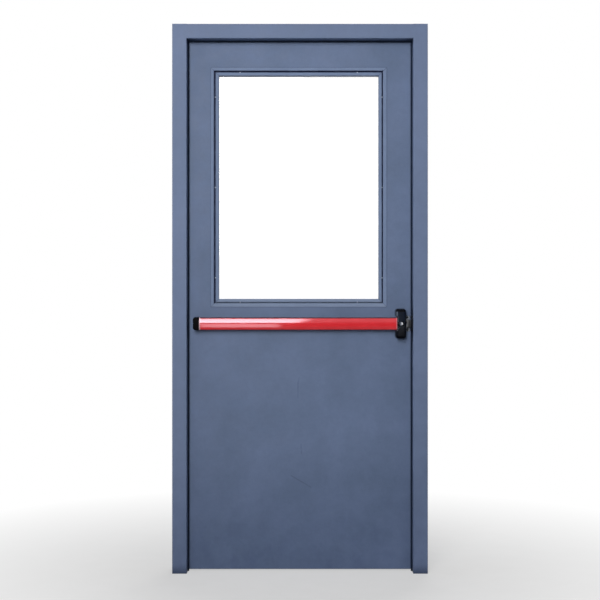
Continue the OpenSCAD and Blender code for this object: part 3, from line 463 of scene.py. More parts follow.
def gloss_red():
    """Glossy red coat of the push pad: painted shade on a deeper lower band and on the bent edges, a painted
    highlight on the pale ends.
    """
    material, tree, shader = new_finish("bar_red")
    low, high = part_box("push_pad")
    mid = (low.z + high.z) / 2
    lines = placed(tree, drawn_streaks, stretch=(6.0, 900.0, 900.0))
    edge_marks = placed(tree, edge_wear, radius=1.2 * MM, break_scale=90.0)
    place = axes_of(tree, surface_place(tree))
    tone = mixed(tree, spread_noise(tree, lines["Smudge"]), RED, RED_SMUDGE)
    # Painted shade below and on the bent edges, painted highlight at the ends. Axis of each band, where it
    # begins and where it is full, its share and its shade
    bands = (("Z", mid - 9 * MM, mid - 18 * MM, 0.2, RED_SHADE_BELOW),
             ("Z", high.z - 5.4 * MM, high.z - 3.6 * MM, 0.9, RED_BEND_SHADE),
             ("Z", low.z + 3.0 * MM, low.z + 1.6 * MM, 0.85, RED_BEND_SHADE),
             ("X", low.x + 4.6 * MM, low.x + 3.6 * MM, 0.75, FREE_END_HIGHLIGHT),
             ("X", high.x - 4.0 * MM, high.x - 3.0 * MM, 0.6, LOCK_END_HIGHLIGHT))
    for axis, begin, full, share, shade in bands:
        tone = mixed(tree, mapped(tree, place[axis], begin, full, 0.0, share), tone, shade)
    covered(tree, shader, tone, roughness=spread_noise(tree, lines["Smudge"], 0.06, 0.09),
            height=lines["Streak"], strength=0.012, distance=0.1 * MM, normal=edge_marks["Normal"])
    shader.inputs["Specular IOR Level"].default_value = 0.8
    shader.inputs["Specular Tint"].default_value = (1.0, 0.86, 0.98, 1.0)
    return material


# Mouldings and rubber

def moulding(name, dark, light, rubbed, roughness, gloss, grain_scale, grain_height):
    """Grained moulding or rubber, with a greyer rubbed edge."""
    material, tree, shader = new_finish(name)
    grain = placed(tree, moulded_grain, grain_scale=grain_scale)
    edge_marks = placed(tree, edge_wear, radius=0.8 * MM, break_scale=120.0)
    tone = mixed(tree, spread_noise(tree, grain["Tone"]), dark, light)
    tone = laid_over(tree, tone, rubbed, edge_marks["Mask"], share=0.3)
    covered(tree, shader, tone, roughness=swung(tree, grain["Tone"], roughness, swing=0.05),
            height=grain["Height"], strength=0.25, distance=grain_height, normal=edge_marks["Normal"])
    shader.inputs["Specular IOR Level"].default_value = gloss
    return material


# Lock cover. Heights are counted from its middle, or for the end slopes from its ends, and widths and depths
# from its bar side and its face. In a pair, the first is where an effect begins, the second where it is full.
# Painted light and shade on the cover: bluer towards its top, black on its end slopes, a highlight on the
# slope above the bar
COVER_FOOT_BLACK = srgb(8, 9, 14)
COVER_LIT_TOP_BLUE = srgb(12, 22, 38)
COVER_LIGHT_HEIGHTS = (-30 * MM, 20 * MM)
COVER_CLOUD = srgb(16, 22, 34)
COVER_CLOUD_SHARE = 0.3
END_SLOPE_SHADE = srgb(2, 3, 8)
END_SLOPE = (13 * MM, 10 * MM)
SLOPE_HIGHLIGHT_GREY = srgb(104, 114, 130)
SLOPE_HIGHLIGHT_WIDTH = (11.5 * MM, 10 * MM)
SLOPE_HIGHLIGHT_DEPTH = (12 * MM, 8 * MM)
SLOPE_HIGHLIGHT_HEIGHT = 37 * MM
SLOPE_HIGHLIGHT_HALF = (11 * MM, 8 * MM)
COVER_RUBBED = srgb(60, 68, 80)


def cover_moulding():
    """Black lock cover: bluer towards its top as painted light, black on its end slopes as painted shade, a
    painted highlight above the bar.
    """
    material, tree, shader = new_finish("cover_moulding")
    low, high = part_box("lock_cover")
    mid = (low.z + high.z) / 2
    half = (high.z - low.z) / 2
    grain = placed(tree, moulded_grain, grain_scale=1400.0)
    edge_marks = placed(tree, edge_wear, radius=0.8 * MM, break_scale=120.0)
    place = axes_of(tree, surface_place(tree))
    # Painted light: bluer towards the top
    rise = mapped(tree, place["Z"], mid + COVER_LIGHT_HEIGHTS[0], mid + COVER_LIGHT_HEIGHTS[1])
    tone = mixed(tree, rise, COVER_FOOT_BLACK, COVER_LIT_TOP_BLUE)
    tone = mixed(tree, spread_noise(tree, grain["Tone"], 0.0, COVER_CLOUD_SHARE), tone, COVER_CLOUD)
    from_mid = distance_from(tree, place["Z"], mid)
    # Painted shade on the end slopes
    end_slope = mapped(tree, from_mid, half - END_SLOPE[0], half - END_SLOPE[1])
    tone = mixed(tree, end_slope, tone, END_SLOPE_SHADE)
    # Painted highlight on the slope above the bar
    strip = times(tree, mapped(tree, place["X"], low.x + SLOPE_HIGHLIGHT_WIDTH[0], low.x + SLOPE_HIGHLIGHT_WIDTH[1]),
                  mapped(tree, place["Y"], low.y + SLOPE_HIGHLIGHT_DEPTH[0], low.y + SLOPE_HIGHLIGHT_DEPTH[1]))
    above_bar = mapped(tree, distance_from(tree, place["Z"], mid + SLOPE_HIGHLIGHT_HEIGHT), *SLOPE_HIGHLIGHT_HALF)
    tone = mixed(tree, times(tree, strip, above_bar), tone, SLOPE_HIGHLIGHT_GREY)
    tone = laid_over(tree, tone, COVER_RUBBED, edge_marks["Mask"], share=0.2)
    covered(tree, shader, tone, roughness=spread_noise(tree, grain["Tone"], 0.36, 0.46),
            height=grain["Height"], strength=0.25, distance=0.05 * MM, normal=edge_marks["Normal"])
    shader.inputs["Specular IOR Level"].default_value = 0.08
    return material


# Metals

BARE_EDGE = srgb(226, 228, 232)
COAT_EDGE = srgb(150, 152, 156)


def metal(name, dull, bright, roughness, stretch):
    """Bare or plated metal with drawn lines, smudges and brighter edges."""
    material, tree, shader = new_finish(name)
    lines = placed(tree, drawn_streaks, stretch=stretch)
    edge_marks = placed(tree, edge_wear, radius=0.7 * MM, break_scale=150.0)
    tone = mixed(tree, spread_noise(tree, lines["Smudge"]), dull, bright)
    tone = laid_over(tree, tone, BARE_EDGE, edge_marks["Mask"], share=0.5)
    covered(tree, shader, tone, roughness=swung(tree, lines["Streak"], roughness, swing=0.08),
            height=lines["Streak"], strength=0.1, distance=0.05 * MM, normal=edge_marks["Normal"])
    shader.inputs["Metallic"].default_value = 1.0
    return material


def coated_steel(name, dark, light, roughness, rubbed_share, gloss):
    """Blackened, painted or dull plated steel, bare at its rubbed edges."""
    material, tree, shader = new_finish(name)
    film = placed(tree, cloudy_coat, coat=dark, cloud=light, cloud_scale=60.0, peel_scale=1500.0)
    edge_marks = placed(tree, edge_wear, radius=0.7 * MM, break_scale=150.0)
    tone = laid_over(tree, film["Color"], COAT_EDGE, edge_marks["Mask"], rubbed_share)
    covered(tree, shader, tone, roughness=swung(tree, film["Sheen Spread"], roughness, swing=0.06),
            height=film["Height"], strength=0.1, distance=0.1 * MM, normal=edge_marks["Normal"])
    shader.inputs["Specular IOR Level"].default_value = gloss
    return material


# Drive tongue: distances from its tip, where its shoulder and its head begin, and past its pointed outline
# Painted shadow on the tongue's neck, painted highlight on its pointed head
TONGUE_NECK_SHADOW = srgb(5, 6, 9)
SHOULDER_GREY = srgb(88, 94, 108)
HEAD_SIDES = srgb(30, 32, 40)
HEAD_HIGHLIGHT = srgb(226, 228, 234)
SHOULDER_AT = (15.4 * MM, 14.6 * MM)
HEAD_AT = (9.0 * MM, 8.4 * MM)
POINT_EDGE = (2.0 * MM, 1.2 * MM)
POINT_SHARE = 0.55


def coated_tongue():
    """Drive tongue: painted shadow on its neck, a dull shoulder, and a painted highlight on its pointed head.
    """
    material, tree, shader = new_finish("coated_tongue")
    low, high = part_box("drive_tongue")
    place = axes_of(tree, surface_place(tree))
    lines = placed(tree, drawn_streaks, stretch=(900.0, 40.0, 900.0))
    edge_marks = placed(tree, edge_wear, radius=0.5 * MM, break_scale=200.0)
    to_tip = reckoned(tree, "SUBTRACT", high.x, place["X"])
    from_mid = distance_from(tree, place["Z"], (low.z + high.z) / 2)
    beside = reckoned(tree, "SUBTRACT", from_mid, times(tree, to_tip, POINT_SHARE))
    head = mapped(tree, to_tip, *HEAD_AT)
    pointed = times(tree, head, mapped(tree, beside, *POINT_EDGE))
    # Painted shadow on the neck, then the dull shoulder, the head's sides and its painted highlight
    tone = mixed(tree, mapped(tree, to_tip, *SHOULDER_AT), TONGUE_NECK_SHADOW, SHOULDER_GREY)
    tone = mixed(tree, head, tone, HEAD_SIDES)
    tone = mixed(tree, pointed, tone, HEAD_HIGHLIGHT)
    tone = laid_over(tree, tone, BARE_EDGE, edge_marks["Mask"], share=0.1)
    covered(tree, shader, tone, roughness=spread_noise(tree, lines["Streak"], 0.4, 0.55),
            height=lines["Streak"], strength=0.1, distance=0.05 * MM, normal=edge_marks["Normal"])
    shader.inputs["Specular IOR Level"].default_value = 0.1
    return material


# Glass and wool

GLASS_TINT = (0.99, 0.997, 0.995, 1)
GLASS_CLEAR = (0.997, 1, 0.999, 1)
WOOL_DARK = srgb(150, 142, 104)
WOOL_PALE = srgb(186, 178, 136)


def clear_pane():
    """Clear float glass, barely green, with faint wiping marks in its tint."""
    material, tree, shader = new_finish("pane_glass")
    lines = placed(tree, drawn_streaks, stretch=(9.0, 9.0, 40.0))
    tint = mixed(tree, spread_noise(tree, lines["Smudge"]), GLASS_TINT, GLASS_CLEAR)
    tree.links.new(tint, shader.inputs["Base Color"])
    shader.inputs["Roughness"].default_value = 0.0
    shader.inputs["Transmission Weight"].default_value = 1.0
    shader.inputs["IOR"].default_value = 1.5
    return material


def pressed_wool():
    """Pressed mineral wool inside the leaf."""
    material, tree, shader = new_finish("core_wool")
    fibres = placed(tree, drawn_streaks, stretch=(300.0, 900.0, 300.0))
    tone = mixed(tree, spread_noise(tree, fibres["Streak"]), WOOL_DARK, WOOL_PALE)
    covered(tree, shader, tone, roughness=spread_noise(tree, fibres["Smudge"], 0.85, 0.95),
            height=fibres["Streak"], strength=0.6, distance=0.5 * MM)
    return material


# One finish for each material slot of the record
finishes = {
    # The last four numbers of each paint set its painted shade in grooves, reveals and corners
    "frame_paint": painted_steel(
        "frame_paint", coat=srgb(106, 122, 153), cloud=srgb(113, 129, 162), cloud_scale=3.0,
        grime_reach=60 * MM, grime_open=0.86, grime_shut=0.45, shade_share=0.78),
    "leaf_paint": painted_steel(
        "leaf_paint", coat=srgb(97, 114, 144), cloud=srgb(107, 124, 157), cloud_scale=4.5,
        grime_reach=5 * MM, grime_open=0.97, grime_shut=0.6, shade_share=0.6),
    "trim_paint": painted_steel(
        "trim_paint", coat=srgb(115, 132, 164), cloud=srgb(123, 140, 172), cloud_scale=6.0,
        grime_reach=18 * MM, grime_open=0.86, grime_shut=0.45, shade_share=0.97),
    "bar_red": gloss_red(),
    "black_moulding": cover_moulding(),
    "cap_black": moulding(
        "cap_black", dark=srgb(4, 4, 6), light=srgb(7, 7, 9), rubbed=srgb(20, 20, 22),
        roughness=0.5, gloss=0.03, grain_scale=1400.0, grain_height=0.05 * MM),
    "seal_rubber": moulding(
        "seal_rubber", dark=srgb(22, 32, 50), light=srgb(27, 38, 56), rubbed=srgb(36, 46, 62),
        roughness=0.65, gloss=0.05, grain_scale=900.0, grain_height=0.08 * MM),
    "glazing_tape": moulding(
        "glazing_tape", dark=srgb(116, 124, 136), light=srgb(130, 138, 150), rubbed=srgb(140, 148, 160),
        roughness=0.7, gloss=0.2, grain_scale=500.0, grain_height=0.1 * MM),
    "fire_strip": moulding(
        "fire_strip", dark=srgb(46, 46, 48), light=srgb(60, 60, 62), rubbed=srgb(84, 84, 86),
        roughness=0.7, gloss=0.2, grain_scale=600.0, grain_height=0.1 * MM),
    "plain_steel": metal(
        "plain_steel", dull=srgb(160, 162, 166), bright=srgb(186, 188, 192), roughness=0.36,
        stretch=(900.0, 900.0, 30.0)),
    "bright_zinc": metal(
        "bright_zinc", dull=srgb(140, 150, 172), bright=srgb(164, 174, 196), roughness=0.42,
        stretch=(700.0, 700.0, 700.0)),
    "rail_aluminium": metal(
        "rail_aluminium", dull=srgb(186, 188, 190), bright=srgb(206, 208, 210), roughness=0.34,
        stretch=(12.0, 1500.0, 1500.0)),
    "dark_steel": coated_steel(
        "dark_steel", dark=srgb(74, 76, 80), light=srgb(96, 98, 102), roughness=0.4,
        rubbed_share=0.55, gloss=0.5),
    "black_screw": coated_steel(
        "black_screw", dark=srgb(8, 9, 12), light=srgb(14, 15, 18), roughness=0.4,
        rubbed_share=0.15, gloss=0.12),
    "pane_glass": clear_pane(),
    "core_wool": pressed_wool(),
}

# Pieces whose finish differs from the rest of their slot
own_finishes = {
    "drive_tongue": coated_tongue(),
    "bead_screws": coated_steel(
        "dull_zinc", dark=srgb(172, 184, 206), light=srgb(190, 200, 220), roughness=0.42,
        rubbed_share=0.3, gloss=0.5),
    "strike": coated_steel(
        "strike_black", dark=srgb(12, 16, 27), light=srgb(17, 22, 34), roughness=0.5,
        rubbed_share=0.08, gloss=0.12),
    # The lock plate's grey is lightened to make up for the cover's shadow: painted light
    "lock_base": coated_steel(
        "plate_grey", dark=srgb(126, 134, 148), light=srgb(146, 154, 168), roughness=0.45,
        rubbed_share=0.3, gloss=0.3),
}


def dress(piece, finish):
    """Gives a piece a finish, in place of what it had."""
    piece.data.materials.clear()
    piece.data.materials.append(finish)


def dress_solids():
    """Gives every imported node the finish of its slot."""
    for node, solid in frame["nodes"].items():
        dress(solid, finishes[slot_of[node]])


# Modelling helpers

MERGE_GAP = 0.005 * MM
NEAR = 0.01 * MM
SQUARE_ON = 0.99
STRAIGHT_ALONG = 0.999
EDGE_STEPS = 3


def clear_selection():
    """Leaves edit mode and deselects everything, so that an operator acts on its own piece alone."""
    if bpy.context.object and bpy.context.object.mode != "OBJECT":
        bpy.ops.object.mode_set(mode="OBJECT")
    bpy.ops.object.select_all(action="DESELECT")


def pick(piece):
    """Makes a piece the only one that is selected, and the active one."""
    clear_selection()
    bpy.context.view_layer.objects.active = piece
    piece.select_set(True)


def edit(piece):
    """Opens a piece alone in edit mode, with nothing in it selected."""
    pick(piece)
    bpy.ops.object.mode_set(mode="EDIT")
    bpy.ops.mesh.select_all(action="DESELECT")


def leave_edit():
    """Goes back from a piece's mesh to the piece."""
    bpy.ops.object.mode_set(mode="OBJECT")


def select_all():
    """Selects all of the mesh that is open."""
    bpy.ops.mesh.select_all(action="SELECT")


def select_parts(piece, kind, wanted):
    """Selects the faces or the edges that pass a test."""
    bpy.ops.mesh.select_mode(type=kind)
    bpy.ops.mesh.select_all(action="DESELECT")
    mesh = bmesh.from_edit_mesh(piece.data)
    for part in (mesh.faces if kind == "FACE" else mesh.edges):
        part.select_set(wanted(part))
    bmesh.update_edit_mesh(piece.data)


def facing(axis, sign):
    """Test for faces that look along an axis, to its low or its high side."""
    return lambda face: face.normal[axis] * sign > SQUARE_ON


def along(axis):
    """Test for edges that run along an axis."""
    def runs(edge):
        step = edge.verts[1].co - edge.verts[0].co
        return abs(step[axis]) > STRAIGHT_ALONG * step.length
    return runs


def extrude_selected(step):
    """Draws what is selected out by a step."""
    bpy.ops.mesh.extrude_region_move(TRANSFORM_OT_translate={"value": step})


def bevel_edges(piece, wanted, width, steps):
    """Rounds the edges that pass a test."""
    select_parts(piece, "EDGE", wanted)
    bpy.ops.mesh.bevel(offset=width, segments=steps, profile=0.5, affect="EDGES")


def open_faces(piece, *tests):
    """Deletes the faces that pass any of the tests."""
    select_parts(piece, "FACE", lambda face: any(test(face) for test in tests))
    bpy.ops.mesh.delete(type="FACE")


def named(name):
    """The piece just added, under its name, with its place, turn and size put into its mesh."""
    piece = bpy.context.object
    piece.name = name
    bpy.ops.object.transform_apply(location=True, rotation=True, scale=True)
    return piece


def add_box(name, low, high):
    """A block from its low corner to its high corner."""
    clear_selection()
    low, high = Vector(low), Vector(high)
    bpy.ops.mesh.primitive_cube_add(size=1, location=(low + high) / 2, scale=high - low)
    return named(name)


def add_rod(name, radius, low_y, high_y, x, z, steps):
    """A rod along Y between two depths."""
    clear_selection()
    bpy.ops.mesh.primitive_cylinder_add(vertices=steps, radius=radius, depth=high_y - low_y,
                                        location=(x, (low_y + high_y) / 2, z), rotation=(math.pi / 2, 0, 0))
    return named(name)


def apply_modifier(piece, kind, **settings):
    """Adds a modifier and applies it."""
    pick(piece)
    modifier = piece.modifiers.new(kind.title(), kind)
    for name, value in settings.items():
        setattr(modifier, name, value)
    bpy.ops.object.modifier_apply(modifier=modifier.name)


def cut_away(piece, tool, operation="DIFFERENCE"):
    """Takes a tool's shape out of a piece, or all but that shape, and the tool with it."""
    apply_modifier(piece, "BOOLEAN", operation=operation, solver="EXACT", object=tool)
    bpy.data.objects.remove(tool)


def give_wall(piece, thickness):
    """Gives an open form an even wall, with its outside kept."""
    apply_modifier(piece, "SOLIDIFY", thickness=thickness, offset=-1.0, use_even_offset=True)


def soften_edges(piece, width, sharp_angle=40, smooth_angle=32):
    """Rounds the sharp edges and smooths the shading between flatter ones."""
    apply_modifier(piece, "BEVEL", width=width, segments=EDGE_STEPS, limit_method="ANGLE",
                   angle_limit=math.radians(sharp_angle), use_clamp_overlap=True, harden_normals=False)
    pick(piece)
    bpy.ops.object.shade_smooth_by_angle(angle=math.radians(smooth_angle))


def stand_for(piece, node):
    """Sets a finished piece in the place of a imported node, on its body and in its finish."""
    dress(piece, own_finishes.get(node, finishes[slot_of[node]]))
    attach(piece, body_of[node])
    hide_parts(node)


def solids_of(node):
    """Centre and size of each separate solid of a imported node, in order of place."""
    mesh = bmesh.new()
    mesh.from_mesh(frame["nodes"][node].data)
    bmesh.ops.remove_doubles(mesh, verts=mesh.verts, dist=MERGE_GAP)
    left, found = set(mesh.verts), []
    while left:
        island, rim = set(), [left.pop()]
        while rim:
            vert = rim.pop()
            island.add(vert)
            near = {edge.other_vert(vert) for edge in vert.link_edges} & left
            left -= near
            rim.extend(near)
        low, high = corners([vert.co for vert in island])
        found.append(((low + high) / 2, high - low))
    mesh.free()
    return sorted(found, key=lambda solid: [round(c, 4) for c in solid[0]])


# Screws with a cross recess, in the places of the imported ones

HEAD_STEPS = 32
DOME_SHARE = 0.6
DOME_STEPS = 6
RECESS_REACH_SHARE = 0.58
RECESS_WIDTH_SHARE = 0.13
RECESS_DEPTH_SHARE = 0.5
SCREW_EDGE_SHARE = 0.012
SCREW_TURN = 37


def model_screw(name, head_d, head_h, shank_d, shank_len):
    """A pan-head screw on the origin: its head rises along +Z and its shank goes down."""
    clear_selection()
    bpy.ops.mesh.primitive_cylinder_add(vertices=HEAD_STEPS, radius=head_d / 2, depth=head_h,
                                        location=(0, 0, head_h / 2))
    screw = named(name)
    edit(screw)
    bevel_edges(screw, lambda edge: all(v.co.z > head_h * SQUARE_ON for v in edge.verts),
                head_h * DOME_SHARE, DOME_STEPS)
    select_parts(screw, "FACE", facing(Z, -1))
    bpy.ops.mesh.inset(thickness=(head_d - shank_d) / 2)
    extrude_selected((0, 0, -shank_len))
    leave_edit()
    reach = head_d * RECESS_REACH_SHARE / 2
    width = head_d * RECESS_WIDTH_SHARE / 2
    depth = head_h * RECESS_DEPTH_SHARE
    for half_x, half_y in ((reach, width), (width, reach)):
        cut_away(screw, add_box("recess_blade", (-half_x, -half_y, head_h - depth),
                                (half_x, half_y, head_h + depth)))
    soften_edges(screw, head_d * SCREW_EDGE_SHARE)
    return screw


def set_screws(node, outward, head_h, shank_d):
    """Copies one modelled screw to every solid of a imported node, each turned a little further."""
    outward = Vector(outward)
    axis = max(range(3), key=lambda i: abs(outward[i]))
    solids = solids_of(node)
    length, head_d = solids[0][1][axis], solids[0][1][(axis + 1) % 3]
    master = model_screw(node + "_master", head_d, head_h, shank_d, length - head_h)
    upright = outward.to_track_quat("Z", "Y").to_matrix().to_4x4()
    for count, (centre, _) in enumerate(solids):
        seat = centre + outward * (length / 2 - head_h)
        screw = master.copy()
        screw.data = master.data.copy()
        screw.name = "%s_%02d" % (node, count + 1)
        turn = Matrix.Rotation(math.radians(SCREW_TURN * count), 4, "Z")
        screw.data.transform(Matrix.Translation(seat) @ upright @ turn)
        bpy.context.collection.objects.link(screw)
        stand_for(screw, node)
    bpy.data.objects.remove(master)


def make_screws():
    """All the screws whose heads show."""
    set_screws("bead_screws", outward=(0, -1, 0), head_h=5 * MM, shank_d=3.6 * MM)
    set_screws("hinge_frame_screws", outward=(0, 1, 0), head_h=2.6 * MM, shank_d=6 * MM)
    set_screws("hinge_leaf_screws", outward=(0, 1, 0), head_h=2.6 * MM, shank_d=6 * MM)
    set_screws("strike_screws", outward=(-1, 0, 0), head_h=4 * MM, shank_d=4.2 * MM)
    set_screws("lock_screws", outward=(0, -1, 0), head_h=3 * MM, shank_d=4.2 * MM)


# Push pad: one bent sheet, spun round its edges and crown and drawn out along the bar

PAD_CROWN = 5 * MM
PAD_CROWN_STEPS = 28
PAD_EDGE_R = 6 * MM
PAD_EDGE_STEPS = 8
PAD_WALL = 2.2 * MM
PAD_HOOK = 2 * MM
PAD_END = 3 * MM
PAD_SOFT = 0.5 * MM


def make_push_pad():
    """The red pad, as a bent sheet with skirts and turned-in hooks."""
    low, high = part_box("push_pad")
    half_h, mid_z = (high.z - low.z) / 2, (high.z + low.z) / 2
    crown_r = (half_h ** 2 + PAD_CROWN ** 2) / (2 * PAD_CROWN)
    crown_y = low.y + crown_r
    edge_z = half_h - PAD_EDGE_R
    edge_y = crown_y - math.sqrt((crown_r - PAD_EDGE_R) ** 2 - edge_z ** 2)
    lean = math.atan2(edge_z, crown_y - edge_y)
    quarter = math.pi / 2 - lean

    clear_selection()
    bpy.ops.mesh.primitive_plane_add(size=MM, location=(low.x, high.y, mid_z + half_h - PAD_WALL - PAD_HOOK))
    pad = named("push_pad_cover")
    edit(pad)
    bpy.ops.mesh.select_mode(type="VERT")
    select_all()
    bpy.ops.mesh.merge(type="CENTER")
    select_all()
    extrude_selected((0, 0, PAD_WALL + PAD_HOOK))
    extrude_selected((0, edge_y - high.y, 0))
    bends = ((Vector((0, edge_y, mid_z + edge_z)), quarter, PAD_EDGE_STEPS),
             (Vector((0, crown_y, mid_z)), 2 * lean, PAD_CROWN_STEPS),
             (Vector((0, edge_y, mid_z - edge_z)), quarter, PAD_EDGE_STEPS))
    for centre, angle, steps in bends:
        bpy.ops.mesh.spin(steps=steps, dupli=False, angle=-angle, center=centre, axis=(1, 0, 0))
    extrude_selected((0, high.y - edge_y, 0))
    extrude_selected((0, 0, PAD_WALL + PAD_HOOK))
    select_all()
    bpy.ops.mesh.remove_doubles(threshold=NEAR)
    bpy.ops.mesh.select_mode(type="EDGE")
    select_all()
    for run in (PAD_END, high.x - low.x - 2 * PAD_END, PAD_END):
        extrude_selected((run, 0, 0))
    select_all()
    bpy.ops.mesh.normals_make_consistent(inside=False)
    mesh = bmesh.from_edit_mesh(pad.data)
    front = min(mesh.faces, key=lambda face: face.calc_center_median().y)
    if front.normal.y > 0:
        bpy.ops.mesh.flip_normals()
    leave_edit()
    give_wall(pad, PAD_WALL)
    soften_edges(pad, PAD_SOFT, sharp_angle=50)
    stand_for(pad, "push_pad")


# End cap: a bevelled block, opened at the back and towards the pad

CAP_CORNER_R = 10 * MM
CAP_CORNER_STEPS = 10
CAP_RIM = 4 * MM
CAP_RIM_STEPS = 5
CAP_NOTCH_D = 6 * MM
CAP_NOTCH = 1.4 * MM
CAP_NOTCH_STEPS = 48
MOULDING_WALL = 2 * MM
MOULDING_EDGE = 0.4 * MM
OVERRUN = MM


def make_end_cap():
    """The black cap at the bar's free end, with a small notch in the middle of its end."""
    low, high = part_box("end_cap")
    cap = add_box("end_cap_shell", low, high)
    edit(cap)
    runs_in = along(Y)
    bevel_edges(cap, lambda edge: runs_in(edge) and edge.verts[0].co.x < low.x + NEAR,
                CAP_CORNER_R, CAP_CORNER_STEPS)
    bevel_edges(cap, lambda edge: all(v.co.y < low.y + NEAR for v in edge.verts)
                and any(v.co.x < high.x - NEAR for v in edge.verts), CAP_RIM, CAP_RIM_STEPS)
    open_faces(cap, facing(Y, 1), facing(X, 1))
    leave_edit()
    give_wall(cap, MOULDING_WALL)
    notch_x = low.x - CAP_NOTCH_D / 2 + CAP_NOTCH
    cut_away(cap, add_rod("cap_notch", CAP_NOTCH_D / 2, low.y - OVERRUN, high.y + OVERRUN,
                          notch_x, (low.z + high.z) / 2, CAP_NOTCH_STEPS))
    soften_edges(cap, MOULDING_EDGE)
    stand_for(cap, "end_cap")


# Lock cover: a rounded block whose face is drawn in, hollowed, with its cuts for bar, tongue and latch

COVER_CORNER_R = 8 * MM
COVER_CORNER_STEPS = 8
COVER_INSET = 4.5 * MM
COVER_SLOPE = 10 * MM
COVER_LEANS = {"bar": 8 * MM, "latch": 4 * MM, "top": 11 * MM, "foot": 7 * MM}
COVER_RIM = 1.6 * MM
COVER_RIM_STEPS = 4
COVER_NOTCH = 16 * MM
NOTCH_BULGE = 6 * MM
NOTCH_HALF = 29 * MM
NOTCH_STEPS = 192
SLOT_ROOM = MM
TONGUE_RUN = 2 * MM
LATCH_LIFTS = (11.65 * MM, 26.3 * MM)
EAR_LIFT = 3.3 * MM
EAR_ROOM = 0.3 * MM


def draw_in_face(cover, low, high):
    """Draws the front face out to the cover's full depth and in from each side by its lean."""
    select_parts(cover, "FACE", facing(Y, -1))
    extrude_selected((0, -COVER_SLOPE, 0))
    width, height = high.x - low.x, high.z - low.z
    across = COVER_LEANS["bar"] + COVER_LEANS["latch"]
    upright = COVER_LEANS["top"] + COVER_LEANS["foot"]
    bpy.ops.transform.resize(value=(1 - across / width, 1, 1 - upright / height),
                             center_override=((low.x + high.x) / 2, low.y, (low.z + high.z) / 2))
    bpy.ops.transform.translate(value=((COVER_LEANS["bar"] - COVER_LEANS["latch"]) / 2, 0,
                                       (COVER_LEANS["foot"] - COVER_LEANS["top"]) / 2))


def make_lock_cover():
    """The black cover over the latch, with a bulging cut where the bar ends."""
    low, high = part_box("lock_cover")
    mid_z = (low.z + high.z) / 2
    bar_side = Vector((low.x + COVER_INSET, low.y, low.z))
    cover = add_box("lock_cover_shell", bar_side + Vector((0, COVER_SLOPE, 0)), high)
    edit(cover)
    bevel_edges(cover, along(Y), COVER_CORNER_R, COVER_CORNER_STEPS)
    draw_in_face(cover, bar_side, high)
    bevel_edges(cover, lambda edge: all(v.co.y < low.y + NEAR for v in edge.verts),
                COVER_RIM, COVER_RIM_STEPS)
    open_faces(cover, facing(Y, 1))
    leave_edit()
    give_wall(cover, MOULDING_WALL)

    notch_x = low.x + COVER_NOTCH
    bulge_r = (NOTCH_HALF ** 2 + NOTCH_BULGE ** 2) / (2 * NOTCH_BULGE)
    bar_cut = add_rod("bar_cut", bulge_r, low.y - OVERRUN, high.y + OVERRUN, notch_x - bulge_r, mid_z,
                      NOTCH_STEPS)
    strip = add_box("bar_cut_strip", (low.x - OVERRUN, low.y - 2 * OVERRUN, mid_z - NOTCH_HALF),
                    (notch_x + OVERRUN, high.y + 2 * OVERRUN, mid_z + NOTCH_HALF))
    cut_away(bar_cut, strip, operation="INTERSECT")
    cut_away(cover, bar_cut)

    wall_x = high.x - MOULDING_WALL - OVERRUN
    tongue_low, tongue_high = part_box("drive_tongue")
    cut_away(cover, add_box("tongue_slot", (notch_x - OVERRUN, low.y - OVERRUN, tongue_low.z - SLOT_ROOM),
                            (tongue_high.x + TONGUE_RUN, high.y - LATCH_LIFTS[1], tongue_high.z + SLOT_ROOM)))
    latch_low, latch_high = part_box("latch_bolt")
    cut_away(cover, add_box("latch_slot", (wall_x, high.y - LATCH_LIFTS[1], latch_low.z - SLOT_ROOM),
                            (high.x + OVERRUN, high.y - LATCH_LIFTS[0], latch_high.z + SLOT_ROOM)))
    strike_low, strike_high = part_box("strike")
    cut_away(cover, add_box("ear_slot", (wall_x, high.y - EAR_LIFT, strike_low.z - EAR_ROOM),
                            (high.x + OVERRUN, high.y + OVERRUN, strike_high.z + EAR_ROOM)))
    soften_edges(cover, MOULDING_EDGE)
    stand_for(cover, "lock_cover")


# Machined and folded pieces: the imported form, merged, with its edges broken and its rounds smoothed

FLAT_ANGLE = 0.5
WING_EDGE = 0.5 * MM
BROKEN_EDGES = {
    "latch_bolt": 0.6 * MM,
    "strike": 0.5 * MM,
    "drive_tongue": 0.4 * MM,
    "lock_base": 0.4 * MM,
    **{"hinge_%s_%s_wing" % (height, side): WING_EDGE
       for side in ("frame", "leaf") for height in ("lower", "middle", "upper")},
    "hinge_pins": 0.6 * MM,
    "hinge_washers": 0.2 * MM,
    "bar_rail": 0.3 * MM,
}


def finish_form(node, width):
    """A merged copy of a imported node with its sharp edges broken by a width."""
    piece = bpy.data.objects.new(node + "_finished", frame["nodes"][node].data.copy())
    bpy.context.collection.objects.link(piece)
    edit(piece)
    bpy.ops.mesh.select_mode(type="VERT")
    select_all()
    bpy.ops.mesh.remove_doubles(threshold=MERGE_GAP)
    bpy.ops.mesh.dissolve_limited(angle_limit=math.radians(FLAT_ANGLE))
    select_all()
    bpy.ops.mesh.normals_make_consistent(inside=False)
    leave_edit()
    soften_edges(piece, width)
    stand_for(piece, node)


def make_machined():
    """Every piece in the table of broken edges."""
    for node, width in BROKEN_EDGES.items():
        finish_form(node, width)


# Corner welds: the round folds of the jambs filled flush where the head butts against them

WELD_R = 3 * MM


